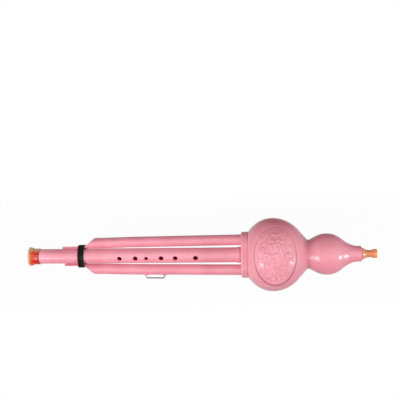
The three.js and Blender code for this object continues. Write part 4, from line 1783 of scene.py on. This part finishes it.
@dataclass
class Drone:
    """One drone: a tube cut slantwise to a tongue, its seal, its reed and, on the right, a wire loop."""

    side: Side
    tongue: float
    collar: float = COLLAR_FACE
    offset: float = DRONE_OFFSET
    radius: float = DRONE_RADIUS
    bore: float = 4.9
    end: float = 6.0
    edge: float = 0.3
    cut_edge: float = 0.22
    pipe_radius: float = PIPE_RADIUS
    pipe_gap: float = 0.3
    longest: float = 219.3
    plain: float = -216.0
    tongue_thickness: float = TONGUE_THICKNESS
    slant_foot: float = 191.3
    slant: float = 12.7
    seal_gap: float = 0.3
    seal_reach: float = 1.2
    seal_start: float = 2.55
    seal_length: float = 1.8
    seal_edge: float = 0.4
    loop: float = 104.59
    span: float = 22.4
    reach: float = 3.7
    wire: float = 0.8
    corner: float = 1.8
    height: float = 1.6
    lug_length: float = 4.4
    lug_height: float = 4.2
    lug_proud: float = 0.8
    lug_edge: float = 0.55
    leg_gap: float = 0.12
    leg_depth: float = 0.3
    hole_depth: float = 0.7
    hole_length: float = 3.0
    first_bend: float = 0.2
    bend_start: float = -173.0
    bend_end: float = -135.0
    pull: float = 0.6
    reed: Reed = DRONE_REED

    @property
    def name(self) -> str:
        """The side, as the names of pieces and nodes give it."""
        return self.side.name.lower()

    @property
    def rise(self) -> float:
        """How much the gap to the main pipe grows along the drone, per millimetre."""
        return (self.offset - (self.pipe_radius + self.pipe_gap) - self.radius) / self.longest

    @property
    def own(self) -> Matrix:
        """The matrix from the drone's own frame to the instrument's."""
        turn = Matrix.Rotation(self.side.value * math.atan(self.rise), 4, "Z")
        return Matrix.Translation((self.collar, self.side.value * self.offset, 0)) @ turn

    @property
    def lugs(self) -> tuple[float, float]:
        """The stations of the two lugs."""
        return (-self.loop - self.span / 2, -self.loop + self.span / 2)

    def _wedge(self) -> Item:
        """Make the cutter for what lies outside the tongue, past the slanted face.

        Returns:
            The cutter.
        """
        flat, edge = (self.side.value * y for y in (self.tongue_thickness - self.radius, self.radius + 1))
        slope = self.slant / (2 * self.radius - self.tongue_thickness)
        top, tail = -self.slant_foot + slope * abs(edge - flat), -self.tongue - 1
        corners = [(top, edge), (-self.slant_foot, flat), (tail, flat), (tail, edge)]
        return bench.slab("tongue_wedge", corners, -self.radius - 1, self.radius + 1)

    def _pipe(self) -> Item:
        """Turn the tube, cut its slant, and on the right add the lugs.

        Returns:
            The tube.
        """
        tail, end = -self.tongue, self.end
        profile = [(self.bore, tail), (self.radius, tail)]
        profile += line((self.radius, self.plain), (self.radius, 0), 54)
        profile += [(self.radius, end - self.edge), (self.radius - self.edge, end), (self.bore, end)]
        profile += line((self.bore, 0), (self.bore, self.plain), 54) + [(self.bore, tail)]
        pipe = bench.join(bench.turned(f"{self.name}_drone", profile), self._wedge())
        self._pull_in(pipe)
        sharp = {"limit_method": "ANGLE", "angle_limit": math.radians(50)}
        bench.modify(pipe, "BEVEL", width=self.cut_edge, segments=2, **sharp)
        if self.side is Side.RIGHT:
            for station in self.lugs:
                self._add_lug(pipe, station)
        return pipe

    def _add_lug(self, pipe: Item, station: float) -> None:
        """Add a lug to the tube and drill it for the wire's leg.

        Args:
            pipe: The tube.
            station: Where along the drone the lug is.
        """
        half, up = self.lug_length / 2, self.lug_height / 2
        low = (station - half, -self.radius - self.lug_proud, self.height - up)
        high = (station + half, -(self.radius + self.bore) / 2, self.height + up)
        bench.join(pipe, bench.block("lug", low, high, self.lug_edge), Join.ADD)
        hole = bench.rod("leg_hole", self.wire + self.leg_gap, 0, self.hole_length, 32)
        stand = Matrix.Rotation(-math.pi / 2, 4, "Z")
        foot = (station, self.hole_depth - self.radius, self.height)
        hole.data.transform(Matrix.Translation(foot) @ stand)
        bench.join(pipe, hole)

    def _pull_in(self, pipe: Item) -> None:
        """Bend the tail end in towards the main pipe, as the band pulls it.

        Args:
            pipe: The tube.
        """
        for corner in pipe.data.vertices:
            share = (corner.co.x - self.bend_start) / (self.bend_end - self.bend_start)
            share = min(max(share, 0), 1)
            gap = self.pipe_gap + (corner.co.x + self.longest) * self.rise
            corner.co.y -= self.side.value * gap * self.pull * (1 - share * share * (3 - 2 * share))

    def _loop(self) -> Item:
        """Sweep the steel wire from one lug round to the other.

        Returns:
            The loop.
        """
        bench.clear()
        start, end = self.lugs
        out, leg = -self.radius - self.reach, -self.radius + self.leg_depth
        bends = [(start, leg), (start, out + self.corner)]
        for a in np.linspace(self.first_bend, 1.571, 6):
            x, y = self.corner * (1 - math.cos(a)), self.corner * (1 - math.sin(a))
            bends.append((start + x, out + y))
        bends += [(start + end - x, y) for x, y in reversed(bends)]
        bpy.ops.curve.primitive_bezier_curve_add()
        wire = bpy.context.object
        wire.name = wire.data.name = "tassel_wire"
        wire.data.splines.clear()
        spline = wire.data.splines.new("POLY")
        spline.points.add(len(bends) - 1)
        for point, (x, y) in zip(spline.points, bends):
            point.co = (x, y, self.height, 1)
        wire.data.dimensions = "3D"
        wire.data.bevel_depth = self.wire
        wire.data.bevel_resolution = 6
        wire.data.use_fill_caps = True
        bpy.ops.object.convert(target="MESH")
        return bpy.context.object

    def build(self, shop: Workshop) -> None:
        """Build and seat the drone, its seal, its reed and its loop.

        Args:
            shop: Dresses and seats the pieces.
        """
        own, body, drone = self.own, "stock", f"{self.name}_drone"
        shop.seat(self._pipe(), shop.drone, body, f"{drone}_pipe", own)
        inner, outer = self.radius + self.seal_gap, self.radius + self.seal_reach
        seal = Sleeve(inner, outer, self.seal_start, self.seal_length, self.seal_edge)
        shop.seat(seal.turned(f"{self.name}_seal_ring"), shop.rubber, body, f"{drone}_seal", own)
        self.reed.build(shop, f"{drone}_reed", body, own @ Matrix.Translation((self.end, 0, 0)))
        if self.side is Side.RIGHT:
            shop.seat(self._loop(), shop.steel, body, "tassel_wire_loop", own, angle=60)


@dataclass
class Band:
    """The rubber band, taut round the main pipe and both tongues."""

    start: float = 62.0
    width: float = 7.3
    thickness: float = 1.7
    gap: float = 0.3
    rounding: float = 0.7
    pipe_radius: float = PIPE_RADIUS
    drone_radius: float = DRONE_RADIUS
    tongue_thickness: float = TONGUE_THICKNESS
    flat: float = 11.7
    dip: tuple[Point, ...] = ((0.7, -0.02), (0.3, -0.2), (0.0, -0.28))

    def _taut(self, growth: float) -> list[Point]:
        """Work out the taut outline.

        Args:
            growth: How far it stands off what it goes round.

        Returns:
            Y and Z of each corner.
        """
        chord = math.sqrt(self.drone_radius**2 - (self.drone_radius - self.tongue_thickness) ** 2)
        corner = math.hypot(self.flat, chord)
        lean = math.degrees(math.atan2(chord, self.flat) + math.acos(self.pipe_radius / corner))
        big, small = (self.pipe_radius + growth,) * 2, (growth, growth)
        middle, left, right = (0, 0), -self.flat, self.flat
        arcs = (
            (middle, big, lean, 180 - lean, 18),
            ((left, chord), small, 180 - lean, 180, 8),
            ((left, -chord), small, 180, 180 + lean, 8),
            (middle, big, 180 + lean, 360 - lean, 18),
            ((right, -chord), small, 360 - lean, 360, 8),
            ((right, chord), small, 0, lean, 8),
        )
        return [point for bend in arcs for point in arc(*bend)]

    def build(self, shop: Workshop) -> None:
        """Build and seat the band, with a soft dip round its middle.

        Args:
            shop: Dresses and seats the pieces.
        """
        end, middle = self.start + self.width, self.start + self.width / 2
        dip = [(middle - away, depth) for away, depth in self.dip]
        dip += [(middle + away, depth) for away, depth in self.dip[-2::-1]]
        layers = rounded_layers(self.start, end, (self.rounding,) * 2, between=dip)
        band = bench.lofted("band", self._taut(self.gap + self.thickness), layers)
        hole = bench.lofted("band_hole", self._taut(self.gap), hole_layers(self.start, end))
        shop.seat(bench.join(band, hole), shop.rubber, "band", "binding_band")


@dataclass
class TailFerrule:
    """The flared bell on the pipe's tail."""

    length: float = 13.0
    rim: float = 11.5
    rim_wall: float = 1.5
    rim_edge: float = 0.7
    mouth_edge: float = 0.4
    neck: float = 9.8
    neck_station: float = 8.0
    neck_edge: float = 0.5
    neck_top: float = 0.7
    bell_depth: float = 4.6
    bore: float = 6.5
    socket: float = 8.5

    def build(self, shop: Workshop) -> None:
        """Build and seat the bell.

        Args:
            shop: Dresses and seats the pieces.
        """
        inner, lip, edge, end = self.rim - self.rim_wall, self.mouth_edge, self.rim_edge, self.neck_edge
        profile = bezier([(self.bore, self.bell_depth), (self.bore, lip), (inner, lip)], 12)
        profile += quarter((inner + lip, lip), lip, -180, 4)[1:]
        profile += quarter((self.rim - edge, edge), edge, -90, 6)
        half = self.neck_station / 2
        curve = [(self.rim, edge), (self.rim, half), (self.neck, half), (self.neck, self.neck_station)]
        profile += bezier(curve, 24)[1:] + [(self.neck, self.length - self.neck_top)]
        profile += quarter((self.neck - end, self.length - end), end, 0, 5)
        profile += [(self.socket, self.length), (self.socket, self.bell_depth), profile[0]]
        shop.seat(bench.turned("tail_bell", profile, 128), shop.bell, "tail_ferrule", "tail_ferrule")


# The set


@dataclass(frozen=True)
class Softbox:
    """A square lamp, leaning out along the instrument and down towards the player's right."""

    name: str
    out: float
    down: float
    power: float
    size: float
    distance: float = 1.0

    def hang(self, aim: Point3) -> None:
        """Hang the lamp so that it faces a point.

        Args:
            aim: The point, in metres.
        """
        out, down = math.radians(self.out), math.radians(self.down)
        towards = Vector((math.sin(out), -math.cos(out) * math.sin(down), math.cos(out) * math.cos(down)))
        data = bpy.data.lights.new(self.name, "AREA")
        data.size = self.size
        data.energy = self.power
        lamp = bpy.data.objects.new(self.name, data)
        bpy.context.scene.collection.objects.link(lamp)
        lamp.location = Vector(aim) + towards * self.distance
        lamp.rotation_euler = towards.to_track_quat("Z", "Y").to_euler()


@dataclass
class Studio:
    """The white floor, the two softboxes, the fill and the camera straight above, in metres."""

    picture: int = 400
    focal: float = 793.0
    sensor: float = 36.0
    eye: Point3 = (0.002, 0.0664, 0.99)
    roll: float = -0.93
    floor: Point3 = (6.0, 6.0, -0.0003)
    floor_tone: Colour = (0.36, 0.36, 0.36, 1)
    shadow_level: float = 0.97
    shadow_side: Point = (0.045, 0.08)
    mirror_level: float = 0.4
    mirror_side: Point = (0.055, 0.08)
    card: Point3 = (0.5, 0.18, 0.03)
    card_side: float = 0.148
    card_tone: Colour = (0.2, 0.03, 0.025, 1)
    aim: Point3 = (0.05, 0.0, 0.04)
    lamps: tuple[Softbox, ...] = (
        Softbox("softbox_right", out=64.5, down=32.0, power=2.6, size=0.25),
        Softbox("softbox_left", out=-46.0, down=31.0, power=3.4, size=0.34),
    )
    white: Colour = (1, 1, 1, 1)
    fill: float = 0.03
    sides: Point = (1.15, 0.85)
    side_reach: Point = (0.35, 0.95)
    overhead: float = 1.27
    overhead_reach: Point = (0.3, 1.0)
    dim_reach: Point = (0.15, 0.95)
    strip: float = 1.0
    strip_middle: Point = (-0.26, -0.58)
    strip_long: Point = (0.1, 0.25)
    strip_wide: Point = (0.04, 0.2)
    strip_height: Point = (0.3, 0.6)

    def _board(self, name: str, size: Point3, side: float, finish: Material) -> Item:
        """Lay a flat board of the set.

        Args:
            name: The new object's name.
            size: Its width, its depth and its height over the table.
            side: Its middle's Y.
            finish: Its material.

        Returns:
            The board.
        """
        bench.clear()
        bpy.ops.mesh.primitive_plane_add(size=1, location=(0, side, size[2]))
        board = bpy.context.object
        board.name = name
        bpy.ops.transform.resize(value=(size[0], size[1], 1))
        bpy.ops.object.transform_apply(location=False, rotation=False, scale=True)
        board.data.materials.append(finish)
        return board

    def _floor(self) -> None:
        """Lay the floor, white to the camera with the object's soft shadow kept."""
        sheet = Paint("studio_white")
        paper = sheet.node("ShaderNodeBsdfDiffuse", None, {"Color": self.floor_tone})
        glow = sheet.node("ShaderNodeEmission", None, {"Color": self.white, "Strength": 1.0})
        seen = sheet.node("ShaderNodeLightPath", output="Is Camera Ray")
        side = abs(sheet.axis(sheet.node("ShaderNodeTexCoord", output="Object"), "Y"))
        mirrored = sheet.node("ShaderNodeLightPath", output="Is Glossy Ray")
        mirrored = mirrored * (1 - side.step(*self.mirror_side)) * self.mirror_level
        white = self.shadow_level + side.step(*self.shadow_side) * (1 - self.shadow_level)
        surface = sheet.node("ShaderNodeMixShader", None, {"Fac": seen * white + mirrored, 1: paper, 2: glow})
        self._board("studio_floor", self.floor, 0, sheet.cover(surface))

    def _card(self) -> None:
        """Lay a dark warm card beside the object, unseen itself, which shades its far side."""
        sheet = Paint("studio_black")
        felt = sheet.node("ShaderNodeBsdfDiffuse", None, {"Color": self.card_tone})
        card = self._board("studio_card", self.card, self.card_side, sheet.cover(felt))
        card.visible_camera = card.visible_shadow = card.visible_transmission = False

    def _world(self) -> None:
        """Fill the room with light from overhead and a pale strip, white to the camera."""
        world = bpy.data.worlds.new("studio_room")
        bpy.context.scene.world = world
        world.use_nodes = True
        sheet = Sheet(world.node_tree)
        seen = sheet.node("ShaderNodeLightPath", output="Is Camera Ray")
        way = sheet.node("ShaderNodeTexCoord", output="Generated")
        x, y, z = (sheet.axis(way, name) for name in "XYZ")
        long, wide = (abs(way - middle) for way, middle in zip((x, y), self.strip_middle))
        strip = (1 - long.step(*self.strip_long)) * (1 - wide.step(*self.strip_wide))
        left, right = ((0 - x).step(*self.side_reach), x.step(*self.side_reach))
        dim = y.step(*self.dim_reach) + (0 - y).step(*self.dim_reach)
        level = self.fill + left * self.sides[0] + right * self.sides[1]
        level = level + z.step(*self.overhead_reach) * (1 - dim) * self.overhead
        level = level + strip * z.step(*self.strip_height) * self.strip
        even = sheet.node("ShaderNodeBackground", None, {"Color": self.white, "Strength": level})
        white = sheet.node("ShaderNodeBackground", None, {"Color": self.white, "Strength": 1.0})
        surface = sheet.node("ShaderNodeMixShader", None, {"Fac": seen, 1: even, 2: white})
        sheet.node("ShaderNodeOutputWorld", None, {"Surface": surface})

    def _camera(self) -> None:
        """Hang the camera over the instrument, as in the photograph."""
        data = bpy.data.cameras.new("camera")
        data.sensor_width = self.sensor
        data.lens = self.sensor * self.focal / self.picture
        camera = bpy.data.objects.new("camera", data)
        bpy.context.scene.collection.objects.link(camera)
        camera.location = self.eye
        camera.rotation_euler = (0, 0, math.radians(self.roll))
        bpy.context.scene.camera = camera

    def build(self) -> None:
        """Build the whole set."""
        bpy.context.scene.view_settings.view_transform = "Standard"
        self._camera()
        self._floor()
        self._card()
        self._world()
        for lamp in self.lamps:
            lamp.hang(self.aim)


def main() -> None:
    """Build the set and the instrument."""
    logging.basicConfig(level=logging.INFO, format="%(name)s %(message)s")
    Studio().build()
    gourd, pipe = Gourd(), MainPipe()
    shop = Workshop(Lay.of_frame(hinge_station=268.9), gourd, pipe)
    drones = [Drone(Side.LEFT, tongue=219.3), Drone(Side.RIGHT, tongue=216.5)]
    gourd.build(shop)
    Mouthpiece().build(shop)
    Stock().build(shop, [drone.own for drone in drones])
    pipe.build(shop)
    for drone in drones:
        drone.build(shop)
    Band().build(shop)
    TailFerrule().build(shop)
    bench.clear()


if __name__ == "__main__":
    main()
